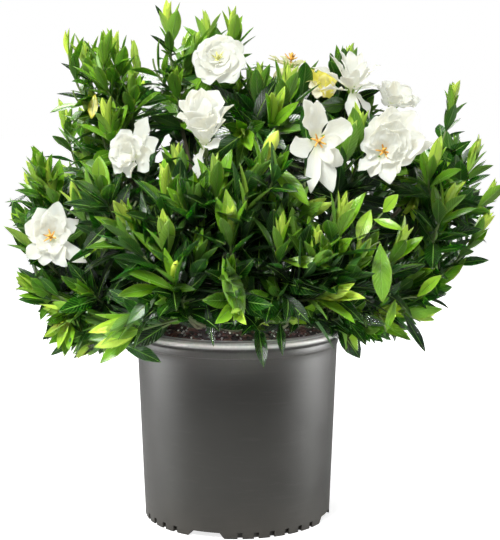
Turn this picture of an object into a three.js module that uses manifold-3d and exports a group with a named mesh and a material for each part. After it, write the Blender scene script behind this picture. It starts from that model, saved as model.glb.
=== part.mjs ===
// Potted gardenia: a flowering evergreen shrub in a moulded nursery pot.
// Millimetres, +Z up. The origin is the middle of the pot's foot, on the surface it stands on,
// and -Y is the side from which most of the blooms are seen.
import * as THREE from 'three';
import { mergeVertices } from 'three/addons/utils/BufferGeometryUtils.js';
import Module from 'manifold-3d';

const wasm = await Module();
wasm.setup();

// Driving dimensions
const GAP = 0.3; // clearance between two pieces that rest against each other
const POT = {
  lipRadius: 115, lipHeight: 213, ridgeRadius: 109.5, ridgeHeight: 216.5, bandHeight: 16,
  wallTopRadius: 113, footRadius: 105.5, wall: 2, floor: 3, sides: 32,
};
const DRAIN = {
  notchWidth: 4, notchHeight: 6, notchDepth: 1.6, notches: 6, notchPitch: 9.7, notchStart: 20.5,
  channels: 4, channelAt: -18.5, channelHeight: 6.5, bottomWidth: 43, topWidth: 31.5, channelInner: 52,
  holeRadius: 6, holeAt: 78,
};
const SOIL = { level: 207, radius: 107.5, relief: 1.6, mound: 4, rings: 5, sides: 20, hole: 32 };
const CROWN = { radius: 22, above: 7, sides: 10 }; // the root crown, where the main stems meet
const TRUNK = {
  stems: 5, ring: 12, baseRadius: 5.5, topRadius: 2.7, spread: 52, top: 372, sides: 5, pieces: 4,
  limbRadius: 2, limbSides: 3, limbPieces: 2, lowFork: 245, forkBelow: 70,
};
const SHOOT = {
  length: 125, baseRadius: 2.1, tipRadius: 1, sides: 3, pieces: 3,
  apex: 34, // the foliage reaches this far past the end of the stem
  sideRadius: 0.7, sidePieces: 2, calyxRadius: 2.2, firstSide: 0.38, nextSide: 0.22, lastSide: 0.7,
};
// Whorls are lists of [distance below the tip, number of leaves]
const LEAF = {
  young: 36, grown: 80, slender: 0.27, broad: 0.37, thick: 2.6, arch: 0.16, sag: 0.1,
  tightAngle: 8, openAngle: 66, opening: 38, growing: 34,
  leaderWhorls: [[8, 2], [33, 2], [64, 2]], sideWhorls: [[8, 2], [34, 1]], bloomWhorls: [[26, 2]],
};
const BUD = { length: 34, radius: 6.2, ridges: 6, rings: 5, twist: 1.4 };
const PETAL = { thick: 1.5, narrow: 0.5, tube: 12, throat: 3, tubeRadius: 2.2, throatRadius: 4.2, hang: 118 };
const ANTHER = { count: 5, length: 9, width: 2.4, thick: 1.4, stigmaLength: 10, stigmaRadius: 2, height: 6 };
const CLEAR = {
  skin: 0.4, overlap: 1e-4, stemTries: 30, leafTries: 9,
  swing: 8, closing: [1, 0.75, 1, 0.6], shortening: 0.96,
};
const HEART = new THREE.Vector3(5, 0, 205); // the shoots radiate from here
const UP = new THREE.Vector3(0, 0, 1);
const GOLDEN_TURN = 2.4; // radians, so that tries one after another lean different ways
const SEED = 2166136261;

// The leafy stems: how far the foliage of each shoot reaches, leader first, and how upright it grows
const SPRAYS = [
  { tips: [[-165, -30, 535], [-185, -40, 545], [-190, -60, 505]], lift: 0.75 },
  { tips: [[-130, -40, 540], [-112, -20, 532]], lift: 0.8 },
  { tips: [[-190, -40, 475], [-150, -80, 490]], lift: 0.4 },
  { tips: [[-75, -20, 575], [-92, -30, 540]], lift: 0.75 },
  { tips: [[-35, 25, 570], [-5, 0, 570]], lift: 0.8, blooms: [1] },
  { tips: [[-210, 40, 465], [-175, 0, 460]], lift: 0.7 },
  { tips: [[-225, -40, 410], [-205, -70, 405]], lift: 0.55 },
  { tips: [[-262, -20, 360], [-240, -20, 395]], lift: 0.2, blooms: [0] },
  { tips: [[-240, -60, 285], [-235, -85, 335]], lift: 0.1 },
  { tips: [[-205, -120, 250], [-200, -95, 195]], lift: -0.1 },
  { tips: [[-125, -165, 215], [-72, -190, 205]], lift: -0.1 },
  { tips: [[20, -60, 490], [50, -80, 480]], lift: 0.8 },
  { tips: [[28, -185, 440], [60, -170, 385]], lift: 0.6, bud: true },
  { tips: [[-20, -190, 415], [10, -200, 400]], lift: 0.6, blooms: [2] },
  { tips: [[-5, -212, 370], [0, -222, 300]], lift: 0.6 },
  { tips: [[45, -212, 362], [90, -214, 310]], lift: 0.6 },
  { tips: [[-70, -205, 358], [-112, -205, 285]], lift: 0.6 },
  { tips: [[-65, -225, 328], [-110, -195, 245]], lift: 0.3, bud: true },
  { tips: [[-135, -140, 415], [-165, -120, 385]], lift: 0.6, blooms: [3] },
  { tips: [[-70, -180, 405], [-105, -175, 370]], lift: 0.6 },
  { tips: [[130, -115, 462]], lift: 0.7, blooms: [5] },
  { tips: [[240, 20, 495], [222, -30, 450]], lift: 0.75 },
  { tips: [[258, -20, 418], [268, -40, 385], [212, -90, 425]], lift: 0.5 },
  { tips: [[274, -60, 350], [230, -115, 385]], lift: 0.3 },
  { tips: [[276, -60, 295], [245, -75, 250]], lift: 0.05 },
  { tips: [[225, -100, 228], [210, -60, 190]], lift: -0.25 },
  { tips: [[125, -200, 335], [168, -180, 345]], lift: 0.35 },
  { tips: [[160, -170, 270], [128, -145, 207]], lift: 0.1 },
  { tips: [[80, -215, 350], [105, -205, 375]], lift: 0.5, blooms: [4] },
  { tips: [[28, -190, 212], [60, -205, 235]], lift: -0.2 },
  { tips: [[140, 40, 530], [205, 50, 490]], lift: 0.7, blooms: [6, 7] },
  { tips: [[75, 0, 525]], lift: 0.7, blooms: [8, 9] },
  { tips: [[-60, 60, 540], [-110, 90, 500]], lift: 0.7 },
  { tips: [[-160, 130, 440], [-200, 100, 400]], lift: 0.5 },
  { tips: [[-225, 100, 330], [-190, 140, 280]], lift: 0.2 },
  { tips: [[-90, 200, 390], [-50, 170, 450]], lift: 0.45 },
  { tips: [[20, 220, 370], [60, 190, 430]], lift: 0.45 },
  { tips: [[80, 100, 500], [40, 130, 480]], lift: 0.65 },
  { tips: [[150, 180, 390], [190, 160, 330]], lift: 0.4 },
  { tips: [[230, 100, 380], [215, 130, 270]], lift: 0.3 },
  { tips: [[-60, 195, 240], [90, 200, 235]], lift: -0.05 },
];

// The blooms: middle, the way each faces, reach of the outer petals, and how far they have opened
const BLOOMS = [
  {
    name: 'bloom_left', heart: true,
    at: [-195, -90, 325], face: [-0.15, -0.9, 0.4], reach: 39, open: 66, inner: 46,
  },
  {
    name: 'bloom_top', heart: true,
    at: [-20, -60, 508], face: [0.05, -0.85, 0.5], reach: 33, open: 70, inner: 52,
  },
  {
    name: 'bloom_cup', hanging: 2,
    at: [-30, -150, 438], face: [0.05, -0.5, 0.86], reach: 38, open: 34, inner: 18,
  },
  {
    name: 'bloom_leaning',
    at: [-103, -130, 412], face: [-0.45, -0.85, 0.25], reach: 36, open: 74, inner: 44,
  },
  {
    name: 'bloom_star', heart: true, narrow: 0.42,
    at: [80, -165, 425], face: [0.2, -0.97, 0.1], reach: 46, open: 80, inner: 62,
  },
  {
    name: 'bloom_full', heart: true,
    at: [150, -150, 418], face: [-0.05, -0.93, 0.35], reach: 38, open: 76, inner: 50,
  },
  {
    name: 'bloom_high', hanging: 2,
    at: [125, -30, 480], face: [0.1, 0.1, 0.99], reach: 40, open: 42, inner: 20,
  },
  {
    name: 'bloom_back',
    at: [183, 30, 465], face: [0.45, -0.1, 0.88], reach: 34, open: 50, inner: 26,
  },
  {
    name: 'bloom_fading', look: 'fading',
    at: [96, -12, 490], face: [0.3, -0.6, 0.74], reach: 22, open: 38, inner: 16,
  },
  {
    name: 'bloom_spent', look: 'spent', heart: true, narrow: 0.3,
    at: [60, 18, 508], face: [-0.1, -0.45, 0.88], reach: 27, open: 74, inner: 40,
  },
];

const COLOURS = {
  pot: { color: 0x54544f, roughness: 0.55 },
  soil: { color: 0x2e1d18, roughness: 1 },
  wood: { color: 0x5b4a35, roughness: 0.9 },
  leaf: { color: 0x3f7d1c, roughness: 0.4 },
  petal: { color: 0xf6f5ee, roughness: 0.6 },
  fading: { color: 0xe6cf4a, roughness: 0.6 },
  spent: { color: 0xe9e2a6, roughness: 0.7 },
  anther: { color: 0xe0a83c, roughness: 0.7 },
};

// Solids and geometries
const vec = (list) => new THREE.Vector3(...list);
const radians = THREE.MathUtils.degToRad;

function solidOf(geometry) {
  const bare = geometry.clone();
  bare.deleteAttribute('normal');
  bare.deleteAttribute('uv');
  const merged = mergeVertices(bare, 1e-4);
  return new wasm.Manifold(new wasm.Mesh({
    numProp: 3,
    vertProperties: new Float32Array(merged.attributes.position.array),
    triVerts: new Uint32Array(merged.index.array),
  }));
}

function geometryOf(solid) {
  const mesh = solid.getMesh();
  const geometry = new THREE.BufferGeometry();
  geometry.setAttribute('position', new THREE.BufferAttribute(mesh.vertProperties.slice(), 3));
  geometry.setIndex(new THREE.BufferAttribute(mesh.triVerts.slice(), 1));
  geometry.computeVertexNormals();
  return geometry;
}

const joined = (solids) => solids.reduce((whole, next) => whole.add(next));

// A number from 0 to 1 that belongs to these whole numbers, the same in every run
function chance(...keys) {
  let hash = SEED;
  for (const key of keys) {
    hash = Math.imul(hash ^ (key + 1), 0x9e3779b1);
    hash ^= hash >>> 15;
  }
  hash = Math.imul(hash ^ (hash >>> 13), 0x85ebca6b);
  hash ^= hash >>> 16;
  return (hash >>> 0) / 4294967296;
}

const between = (low, high, ...keys) => low + (high - low) * chance(...keys);

// Two unit vectors across a direction
function across(direction) {
  const reference = new THREE.Vector3(0, 1, 0);
  if (Math.abs(direction.y) > 0.8) reference.set(1, 0, 0);
  const first = reference.cross(direction).normalize();
  return [first, new THREE.Vector3().crossVectors(direction, first)];
}

// Where a stem built of so many straight pieces really runs: on the chords of its curve
function onChord(curve, pieces, share) {
  const piece = Math.min(Math.floor(share * pieces), pieces - 1);
  const from = curve.getPoint(piece / pieces);
  const to = curve.getPoint((piece + 1) / pieces);
  const tangent = to.clone().sub(from).normalize();
  return { point: from.lerp(to, share * pieces - piece), tangent };
}

// A stem along a curve: a cylinder with flat ends, bent and tapered
function stem(curve, startRadius, endRadius, sides, pieces) {
  const geometry = new THREE.CylinderGeometry(1, 1, 1, sides, pieces);
  const position = geometry.attributes.position;
  const [steady] = across(curve.getPoint(1).sub(curve.getPoint(0)).normalize());
  for (let i = 0; i < position.count; i++) {
    const share = position.getY(i) + 0.5;
    const tangent = curve.getTangent(share);
    const second = new THREE.Vector3().crossVectors(steady, tangent).normalize();
    const first = new THREE.Vector3().crossVectors(tangent, second);
    const radius = startRadius + (endRadius - startRadius) * share;
    const point = curve.getPoint(share)
      .addScaledVector(first, position.getX(i) * radius)
      .addScaledVector(second, position.getZ(i) * radius);
    position.setXYZ(i, point.x, point.y, point.z);
  }
  return solidOf(geometry);
}

// Stations along a blade: [share of the length, share of the width]
const SPEAR = [[0, 0], [0.42, 1], [1, 0]];
const SPOON = [[0, 0], [0.5, 1], [0.88, 0.74], [1, 0]];

// A leaf or petal: a sphere of three columns drawn out into an arched blade with a rib along its back
function blade(shape, grown = 0) {
  const { root, along, face, length, width, thick, arch, roll = 0, stations = SPEAR } = shape;
  const geometry = new THREE.SphereGeometry(1, 3, stations.length - 1);
  const position = geometry.attributes.position;
  const side = new THREE.Vector3().crossVectors(face, along);
  for (let i = 0; i < position.count; i++) {
    const [share, wide] = stations[Math.floor(i / 4)];
    const edge = [1, 0, -1, 1][i % 4];
    const half = edge * wide * (width / 2 + grown);
    const rib = edge === 0 && wide > 0 ? thick + grown : 0;
    const raised = roll * half - arch * length * share * share - rib;
    const point = root.clone()
      .addScaledVector(along, share * (length + grown))
      .addScaledVector(side, half)
      .addScaledVector(face, raised);
    position.setXYZ(i, point.x, point.y, point.z);
  }
  return solidOf(geometry);
}

// What has been placed so far, so that nothing else grows through it
const placed = [];

function place(solid, owner, foliage = false) {
  const { min, max } = solid.boundingBox();
  placed.push({ solid, owner, foliage, min, max });
  return solid;
}

function meets(solid, others) {
  const { min, max } = solid.boundingBox();
  return others.some((other) => [0, 1, 2].every((k) => min[k] < other.max[k] && max[k] > other.min[k])
    && solid.intersect(other.solid).volume() > CLEAR.overlap);
}

const blocked = (solid, owner) => meets(solid, placed.filter((other) => other.owner !== owner));
const crosses = (solid, owner) =>
  meets(solid, placed.filter((other) => other.owner === owner && other.foliage));

// A bent stem whose bend swings further aside with each try until the stem is clear
function clearStem(start, knee, end, shape, owner) {
  const [startRadius, endRadius, sides, pieces] = shape;
  const nearEnd = end.clone().lerp(knee, 2 / 3);
  for (let attempt = 0; attempt < CLEAR.stemTries; attempt++) {
    const lean = attempt * GOLDEN_TURN;
    const aside = new THREE.Vector3(Math.cos(lean), Math.sin(lean), 0.3 * Math.sin(attempt));
    const nearStart = start.clone().lerp(knee, 2 / 3).addScaledVector(aside, CLEAR.swing * Math.sqrt(attempt));
    const curve = new THREE.CubicBezierCurve3(start, nearStart, nearEnd, end);
    const fat = stem(curve, startRadius + CLEAR.skin, endRadius + CLEAR.skin, sides, pieces);
    if (!blocked(fat, owner)) return { curve, solid: stem(curve, startRadius, endRadius, sides, pieces) };
  }
  return null;
}

// Pot
const turned = (points, sides) =>
  new THREE.LatheGeometry(points.map(([r, z]) => new THREE.Vector2(r, z)), sides).rotateX(Math.PI / 2);

const bandLow = POT.lipHeight - POT.bandHeight;
const wallRadius = (z) => THREE.MathUtils.mapLinear(z, 0, bandLow, POT.footRadius, POT.wallTopRadius);
const innerRadius = (z) => wallRadius(z) - POT.wall;

// A bar with this section, from one radius to another along the pot's floor
function radialBar(section, from, to, angle) {
  const shape = new THREE.Shape(section.map(([x, y]) => new THREE.Vector2(x, y)));
  const geometry = new THREE.ExtrudeGeometry(shape, { depth: to - from, bevelEnabled: false });
  return solidOf(geometry.rotateX(Math.PI / 2).translate(0, -from, 0).rotateZ(radians(angle)));
}

// The section of a drainage channel, as wide as its gap in the foot or a wall thickness larger
function channelSection(grown, low) {
  const bottom = DRAIN.bottomWidth / 2 + grown;
  const top = DRAIN.topWidth / 2 + grown;
  const height = DRAIN.channelHeight + grown;
  return [[-bottom, low], [bottom, low], [top, height], [-top, height]];
}

const channelAngles = Array.from({ length: DRAIN.channels },
  (_, n) => DRAIN.channelAt + n * 360 / DRAIN.channels);

function pot() {
  const p = POT;
  const profile = [
    [0, 0], [p.footRadius, 0],
    [p.wallTopRadius, bandLow], [p.lipRadius - 0.8, bandLow + 0.8], [p.lipRadius - 0.7, p.lipHeight - 5.5],
    [p.lipRadius, p.lipHeight - 5], [p.lipRadius, p.lipHeight - 0.6],
    [p.lipRadius - 2.8, p.lipHeight - 1.4], [p.ridgeRadius + 0.8, p.ridgeHeight],
    [p.ridgeRadius - 1, p.ridgeHeight], [innerRadius(bandLow - 3), bandLow - 3],
    [innerRadius(p.floor), p.floor], [0, p.floor],
  ];
  let body = solidOf(turned(profile, p.sides));
  const outside = p.footRadius + 6;
  const disc = new THREE.CylinderGeometry(p.footRadius - 1, p.footRadius - 1, p.footRadius, p.sides);
  const within = solidOf(disc.rotateX(Math.PI / 2));
  for (const angle of channelAngles) {
    const channel = radialBar(channelSection(p.floor, 1), DRAIN.channelInner, outside, angle);
    body = body.add(channel.intersect(within));
    body = body.subtract(radialBar(channelSection(0, -1), DRAIN.channelInner + p.floor, outside, angle));
    const hole = new THREE.CylinderGeometry(DRAIN.holeRadius, DRAIN.holeRadius, 4 * p.floor, 8)
      .rotateX(Math.PI / 2)
      .translate(0, -DRAIN.holeAt, DRAIN.channelHeight + p.floor / 2)
      .rotateZ(radians(angle));
    body = body.subtract(solidOf(hole));
    const w = DRAIN.notchWidth / 2;
    for (let n = 0; n < DRAIN.notches; n++) {
      const section = [[-w, -1], [w, -1], [w, DRAIN.notchHeight], [-w, DRAIN.notchHeight]];
      const at = angle + DRAIN.notchStart + DRAIN.notchPitch * n;
      body = body.subtract(radialBar(section, p.footRadius - DRAIN.notchDepth, outside, at));
    }
  }
  return body;
}

// Soil: the potting mix fills the pot up to just below its rim, with a plain hole for the root crown
const crownBottom = SOIL.level - SOIL.hole + GAP;

function soil() {
  const s = SOIL;
  const low = POT.floor + GAP;
  const snug = (z) => innerRadius(z) * Math.cos(Math.PI / POT.sides) - GAP;
  const profile = [[0, low], [snug(low), low], [snug(bandLow - 3), bandLow - 3], [s.radius - 1.5, s.level]];
  for (let ring = s.rings - 1; ring >= 0; ring--) profile.push([s.radius * ring / s.rings, s.level]);
  const geometry = turned(profile, s.sides);
  const position = geometry.attributes.position;
  for (let i = 0; i < position.count; i++) {
    const [x, y, z] = [position.getX(i), position.getY(i), position.getZ(i)];
    const share = Math.hypot(x, y) / s.radius;
    if (z < s.level - 1 || share > 0.95) continue;
    const lumps = Math.sin(x * 0.23 + 1.3) * Math.cos(y * 0.19) + Math.sin((x + y) * 0.37) * 0.6;
    position.setZ(i, s.level + s.mound * (1 - share * share) + s.relief * lumps);
  }
  let body = solidOf(geometry);
  for (const angle of channelAngles) {
    const clear = channelSection(POT.floor + 2 * GAP, 0);
    body = body.subtract(radialBar(clear, DRAIN.channelInner - GAP, POT.footRadius, angle));
  }
  return body.subtract(crown(CROWN.radius + GAP, SOIL.level - SOIL.hole));
}

// Woody stems: a root crown in the soil, main stems, and a limb from one of them to every leafy stem
function crown(radius, from) {
  const height = SOIL.level + CROWN.above - from;
  const geometry = new THREE.CylinderGeometry(radius, radius, height, CROWN.sides).rotateX(Math.PI / 2);
  return solidOf(geometry.translate(0, 0, from + height / 2));
}

const mainStems = Array.from({ length: TRUNK.stems }, (_, n) => {
  const angle = (n + 0.3) * 2 * Math.PI / TRUNK.stems;
  const outward = new THREE.Vector3(Math.cos(angle), Math.sin(angle), 0);
  const foot = outward.clone().multiplyScalar(TRUNK.ring).setZ(crownBottom + 8);
  const kneeHeight = THREE.MathUtils.lerp(SOIL.level, TRUNK.top, 0.45);
  const knee = outward.clone().multiplyScalar(TRUNK.ring + 8).setZ(kneeHeight);
  const top = outward.clone().multiplyScalar(TRUNK.spread).setZ(TRUNK.top - 12 * (n % 2));
  return new THREE.QuadraticBezierCurve3(foot, knee, top);
});

// The end of a shoot and its direction there, from the point that its leaves reach
function shootTo(tip, lift) {
  const outward = vec(tip).sub(HEART).normalize();
  const aim = lift < 0
    ? outward.clone().addScaledVector(UP, lift * 1.6).normalize()
    : outward.clone().lerp(UP, lift).normalize();
  return { end: vec(tip).addScaledVector(aim, -SHOOT.apex), aim, outward };
}

function leaderOf(spray, number) {
  const { end, aim, outward } = shootTo(spray.tips[0], spray.lift);
  const back = aim.clone().multiplyScalar(0.45).addScaledVector(outward, 0.55).normalize();
  const start = end.clone().addScaledVector(back, -SHOOT.length);
  start.z = Math.max(start.z, POT.ridgeHeight + 18);
  const knee = end.clone().addScaledVector(aim, -SHOOT.length * 0.5);
  const shape = [SHOOT.baseRadius, SHOOT.tipRadius, SHOOT.sides, SHOOT.pieces];
  return clearStem(start, knee, end, shape, names[number]);
}

// A limb forks off the main stem whose top is nearest and runs straight on into the leafy stem
function limbTo(leader) {
  const start = leader.getPoint(0);
  const away = (main) => main.getPoint(1).setZ(0).distanceTo(start.clone().setZ(0));
  const nearest = mainStems.reduce((best, next) => (away(next) < away(best) ? next : best));
  const height = THREE.MathUtils.clamp(start.z - TRUNK.forkBelow, TRUNK.lowFork, TRUNK.top - 25);
  let share = 0.3;
  while (share < 0.97 && onChord(nearest, TRUNK.pieces, share).point.z < height) share += 0.02;
  const fork = onChord(nearest, TRUNK.pieces, share).point;
  const into = leader.getTangent(0);
  const end = start.clone().addScaledVector(into, -GAP);
  const overRim = Math.max(0, end.z - POT.ridgeHeight - 8) / Math.max(into.z, 0.01);
  const knee = end.clone().addScaledVector(into, -Math.min(0.4 * end.distanceTo(fork), overRim));
  const shape = [TRUNK.limbRadius, SHOOT.baseRadius, TRUNK.limbSides, TRUNK.limbPieces];
  const lower = fork.clone().setZ(fork.z - 25);
  return clearStem(fork, knee, end, shape, 'woody_stems') || clearStem(lower, knee, end, shape, 'woody_stems');
}

// Leaves of a shoot, whorl by whorl: each is wider open, longer and broader the further it is below the tip
function leavesOf({ curve, pieces, whorls, number }) {
  const length = curve.getLength();
  return whorls.flatMap(([below, count], whorl) => {
    const { point, tangent } = onChord(curve, pieces, Math.max(0.05, 1 - below / length));
    const [first, second] = across(tangent);
    return [0, 1].slice(0, count).map((pair) => {
      const keys = [number, whorl, pair];
      const age = 1 - Math.exp(-below / LEAF.growing);
      return {
        keys, age, tangent, first, second, root: point,
        open: LEAF.tightAngle + (LEAF.openAngle - LEAF.tightAngle) * (1 - Math.exp(-below / LEAF.opening)),
        turn: whorl * 90 + pair * 180 + between(-22, 22, ...keys, 1) + number * 47,
        reach: (LEAF.young + (LEAF.grown - LEAF.young) * age) * between(0.86, 1.14, ...keys, 2),
      };
    });
  });
}

// One leaf; later tries swing, close and shorten it to get it clear of its neighbours
function leafBlade(leaf, attempt) {
  const { swing, closing, shortening } = CLEAR;
  const open = radians(leaf.open * closing[attempt % closing.length] * between(0.85, 1.15, ...leaf.keys, 3));
  const turn = radians(leaf.turn + 2.2 * swing * Math.ceil(attempt / 2) * (attempt % 2 ? 1 : -1));
  const along = leaf.tangent.clone().multiplyScalar(Math.cos(open))
    .addScaledVector(leaf.first, Math.cos(turn) * Math.sin(open))
    .addScaledVector(leaf.second, Math.sin(turn) * Math.sin(open))
    .addScaledVector(UP, -LEAF.sag * leaf.age)
    .normalize();
  const face = leaf.tangent.clone().multiplyScalar(0.55).addScaledVector(UP, 0.5);
  face.addScaledVector(along, -face.dot(along)).normalize();
  const length = leaf.reach * shortening ** attempt;
  return {
    root: leaf.root, along, face, length,
    width: length * THREE.MathUtils.lerp(LEAF.slender, LEAF.broad, leaf.age),
    thick: LEAF.thick * (1.2 - 0.3 * leaf.age) * length / LEAF.grown,
    arch: LEAF.arch * (leaf.age - 0.15) * between(0.5, 1.5, ...leaf.keys, 4),
  };
}

function clearLeaf(leaf, owner) {
  for (let attempt = 0; attempt < CLEAR.leafTries; attempt++) {
    const shape = leafBlade(leaf, attempt);
    const moved = (root) => ({ ...shape, root });
    const near = [-CLEAR.skin, 0, CLEAR.skin]
      .map((aside) => moved(shape.root.clone().addScaledVector(shape.face, aside)));
    const outer = moved(shape.root.clone().addScaledVector(shape.along, 0.3 * shape.length));
    outer.length *= 0.7;
    if (crosses(blade(outer), owner)) continue;
    if (near.some((next) => blocked(blade(next, CLEAR.skin), owner))) continue;
    return blade(shape);
  }
  return null;
}

// Blooms: a corolla tube with whorls of petals, each petal rolled so far that it slips under the next
function petal({ face, reach, narrow }, middle, { turn, open, length, roll, arch }) {
  const axis = vec(face).normalize();
  const [first, second] = across(axis);
  const around = first.clone().multiplyScalar(Math.cos(turn)).addScaledVector(second, Math.sin(turn));
  const along = axis.clone().multiplyScalar(Math.cos(open)).addScaledVector(around, Math.sin(open));
  const inward = axis.clone().multiplyScalar(Math.sin(open)).addScaledVector(around, -Math.cos(open));
  return blade({ root: middle, along, face: inward, length: reach * length, width: reach * length * narrow,
    thick: PETAL.thick, stations: SPOON, roll, arch });
}

function corolla(bloom, number) {
  const axis = vec(bloom.face).normalize();
  const middle = vec(bloom.at);
  const tube = new THREE.LineCurve3(
    middle.clone().addScaledVector(axis, -PETAL.tube),
    middle.clone().addScaledVector(axis, PETAL.throat),
  );
  const solids = [stem(tube, PETAL.tubeRadius, PETAL.throatRadius, 6, 1)];
  const shape = { narrow: PETAL.narrow, ...bloom };
  const whorls = [
    { count: bloom.open > 60 ? 6 : 5, open: bloom.open, length: 1, offset: 0 },
    { count: bloom.inner > 35 ? 5 : 3, open: bloom.inner, length: 0.78, offset: 33 },
  ];
  whorls.forEach(({ count, open, length, offset }, whorl) => {
    const step = 360 / count;
    const roll = Math.tan(radians(Math.min(42, 0.55 * step * Math.cos(radians(open)))));
    for (let n = 0; n < count; n++) {
      const keys = [900 + number, whorl, n];
      const hangs = whorl === 0 && n < (bloom.hanging || 0);
      solids.push(petal(shape, middle, {
        turn: radians(n * step + offset + between(-5, 5, ...keys, 1)),
        open: radians(hangs ? PETAL.hang : open + between(-5, 5, ...keys, 2)),
        length: length * between(0.92, 1.06, ...keys, 3),
        roll: hangs ? 0 : roll,
        arch: between(-0.04, 0.12, ...keys, 4),
      }));
    }
  });
  return joined(solids);
}

// The anthers round the club of the stigma, seated in the throat
function anthers(bloom) {
  const axis = vec(bloom.face).normalize();
  const [first, second] = across(axis);
  const seat = vec(bloom.at).addScaledVector(axis, PETAL.throat + GAP);
  const stigma = new THREE.LineCurve3(seat, seat.clone().addScaledVector(axis, ANTHER.stigmaLength));
  const solids = [stem(stigma, ANTHER.stigmaRadius, 0.75 * ANTHER.stigmaRadius, 5, 1)];
  const root = seat.clone().addScaledVector(axis, ANTHER.height);
  for (let n = 0; n < ANTHER.count; n++) {
    const turn = n * 2 * Math.PI / ANTHER.count;
    const around = first.clone().multiplyScalar(Math.cos(turn)).addScaledVector(second, Math.sin(turn));
    const along = axis.clone().multiplyScalar(0.45).addScaledVector(around, 0.9).normalize();
    const face = axis.clone().multiplyScalar(0.9).addScaledVector(around, -0.45).normalize();
    const { length, width, thick } = ANTHER;
    solids.push(blade({ root, along, face, length, width, thick, arch: -0.1 }));
  }
  return joined(solids);
}

// A flower bud: a spindle whose six ridges wind round it
function bud(leader) {
  const apex = leader.getPoint(1);
  const aim = leader.getTangent(1);
  const { ridges, rings, twist } = BUD;
  const geometry = new THREE.SphereGeometry(1, ridges, rings);
  const position = geometry.attributes.position;
  const [first] = across(aim);
  const second = new THREE.Vector3().crossVectors(first, aim);
  for (let i = 0; i < position.count; i++) {
    const share = Math.floor(i / (ridges + 1)) / rings;
    const turn = (i % (ridges + 1)) * 2 * Math.PI / ridges + share * twist;
    const radius = share < 1 ? BUD.radius * Math.sin(Math.PI * share ** 0.8) : 0;
    const point = apex.clone().addScaledVector(aim, (share - 0.08) * BUD.length)
      .addScaledVector(first, -Math.cos(turn) * radius)
      .addScaledVector(second, -Math.sin(turn) * radius);
    position.setXYZ(i, point.x, point.y, point.z);
  }
  return solidOf(geometry);
}

// The assembly: what is stiff comes first, and the leaves give way to it
const plant = new THREE.Group();

function show(name, solid, look) {
  const material = new THREE.MeshStandardMaterial({ ...COLOURS[look], metalness: 0 });
  const mesh = new THREE.Mesh(geometryOf(solid), material);
  mesh.name = name;
  plant.add(mesh);
}

const names = SPRAYS.map((_, n) => `spray_${String(n + 1).padStart(2, '0')}`);

show('pot', place(pot(), 'pot'), 'pot');
show('soil', place(soil(), 'soil'), 'soil');

BLOOMS.forEach((bloom, n) => {
  show(bloom.name, place(corolla(bloom, n), bloom.name), bloom.look || 'petal');
  if (bloom.heart) show(`${bloom.name}_anthers`, place(anthers(bloom), `${bloom.name}_anthers`), 'anther');
});

const wood = [crown(CROWN.radius, crownBottom)];
for (const curve of mainStems) {
  wood.push(stem(curve, TRUNK.baseRadius, TRUNK.topRadius, TRUNK.sides, TRUNK.pieces));
}
wood.forEach((solid) => place(solid, 'woody_stems'));

const leaders = SPRAYS.map((spray, n) => {
  const leader = leaderOf(spray, n);
  place(leader.solid, names[n]);
  return leader;
});
for (const leader of leaders) wood.push(place(limbTo(leader.curve).solid, 'woody_stems'));
show('woody_stems', joined(wood), 'wood');

// Side shoots end at the other tips of their spray, or in the calyx under a bloom
function sideShoots(spray, leader, number) {
  const ends = spray.tips.slice(1).map((tip) => shootTo(tip, spray.lift));
  for (const carried of spray.blooms || []) {
    const aim = vec(BLOOMS[carried].face).normalize();
    ends.push({ end: vec(BLOOMS[carried].at).addScaledVector(aim, -PETAL.tube - GAP), aim, bloom: true });
  }
  return ends.map(({ end, aim, bloom }, side) => {
    const share = Math.min(SHOOT.firstSide + SHOOT.nextSide * side, SHOOT.lastSide);
    const start = onChord(leader.curve, SHOOT.pieces, share).point;
    const knee = end.clone().addScaledVector(aim, -0.45 * end.distanceTo(start));
    const endRadius = bloom ? SHOOT.calyxRadius : SHOOT.tipRadius;
    const shape = [SHOOT.sideRadius, endRadius, SHOOT.sides, SHOOT.sidePieces];
    const { curve, solid } = clearStem(start, knee, end, shape, names[number]);
    place(solid, names[number]);
    const whorls = bloom ? LEAF.bloomWhorls : LEAF.sideWhorls;
    return { curve, solid, pieces: SHOOT.sidePieces, whorls, number: 10 * number + 1 + side };
  });
}

const shoots = SPRAYS.map((spray, n) => {
  const leader = { ...leaders[n], pieces: SHOOT.pieces, whorls: LEAF.leaderWhorls, number: 10 * n };
  return [leader, ...sideShoots(spray, leader, n)];
});

shoots.forEach((group, n) => {
  const parts = group.map(({ solid }) => solid);
  if (SPRAYS[n].bud) parts.push(place(bud(leaders[n].curve), names[n], true));
  for (const leaf of group.flatMap(leavesOf)) {
    const solid = clearLeaf(leaf, names[n]);
    if (solid) parts.push(place(solid, names[n], true));
  }
  show(names[n], joined(parts), 'leaf');
});

export default plant;
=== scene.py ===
import math
from random import Random

import bmesh
import bpy
from mathutils import Matrix, Vector, noise


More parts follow.
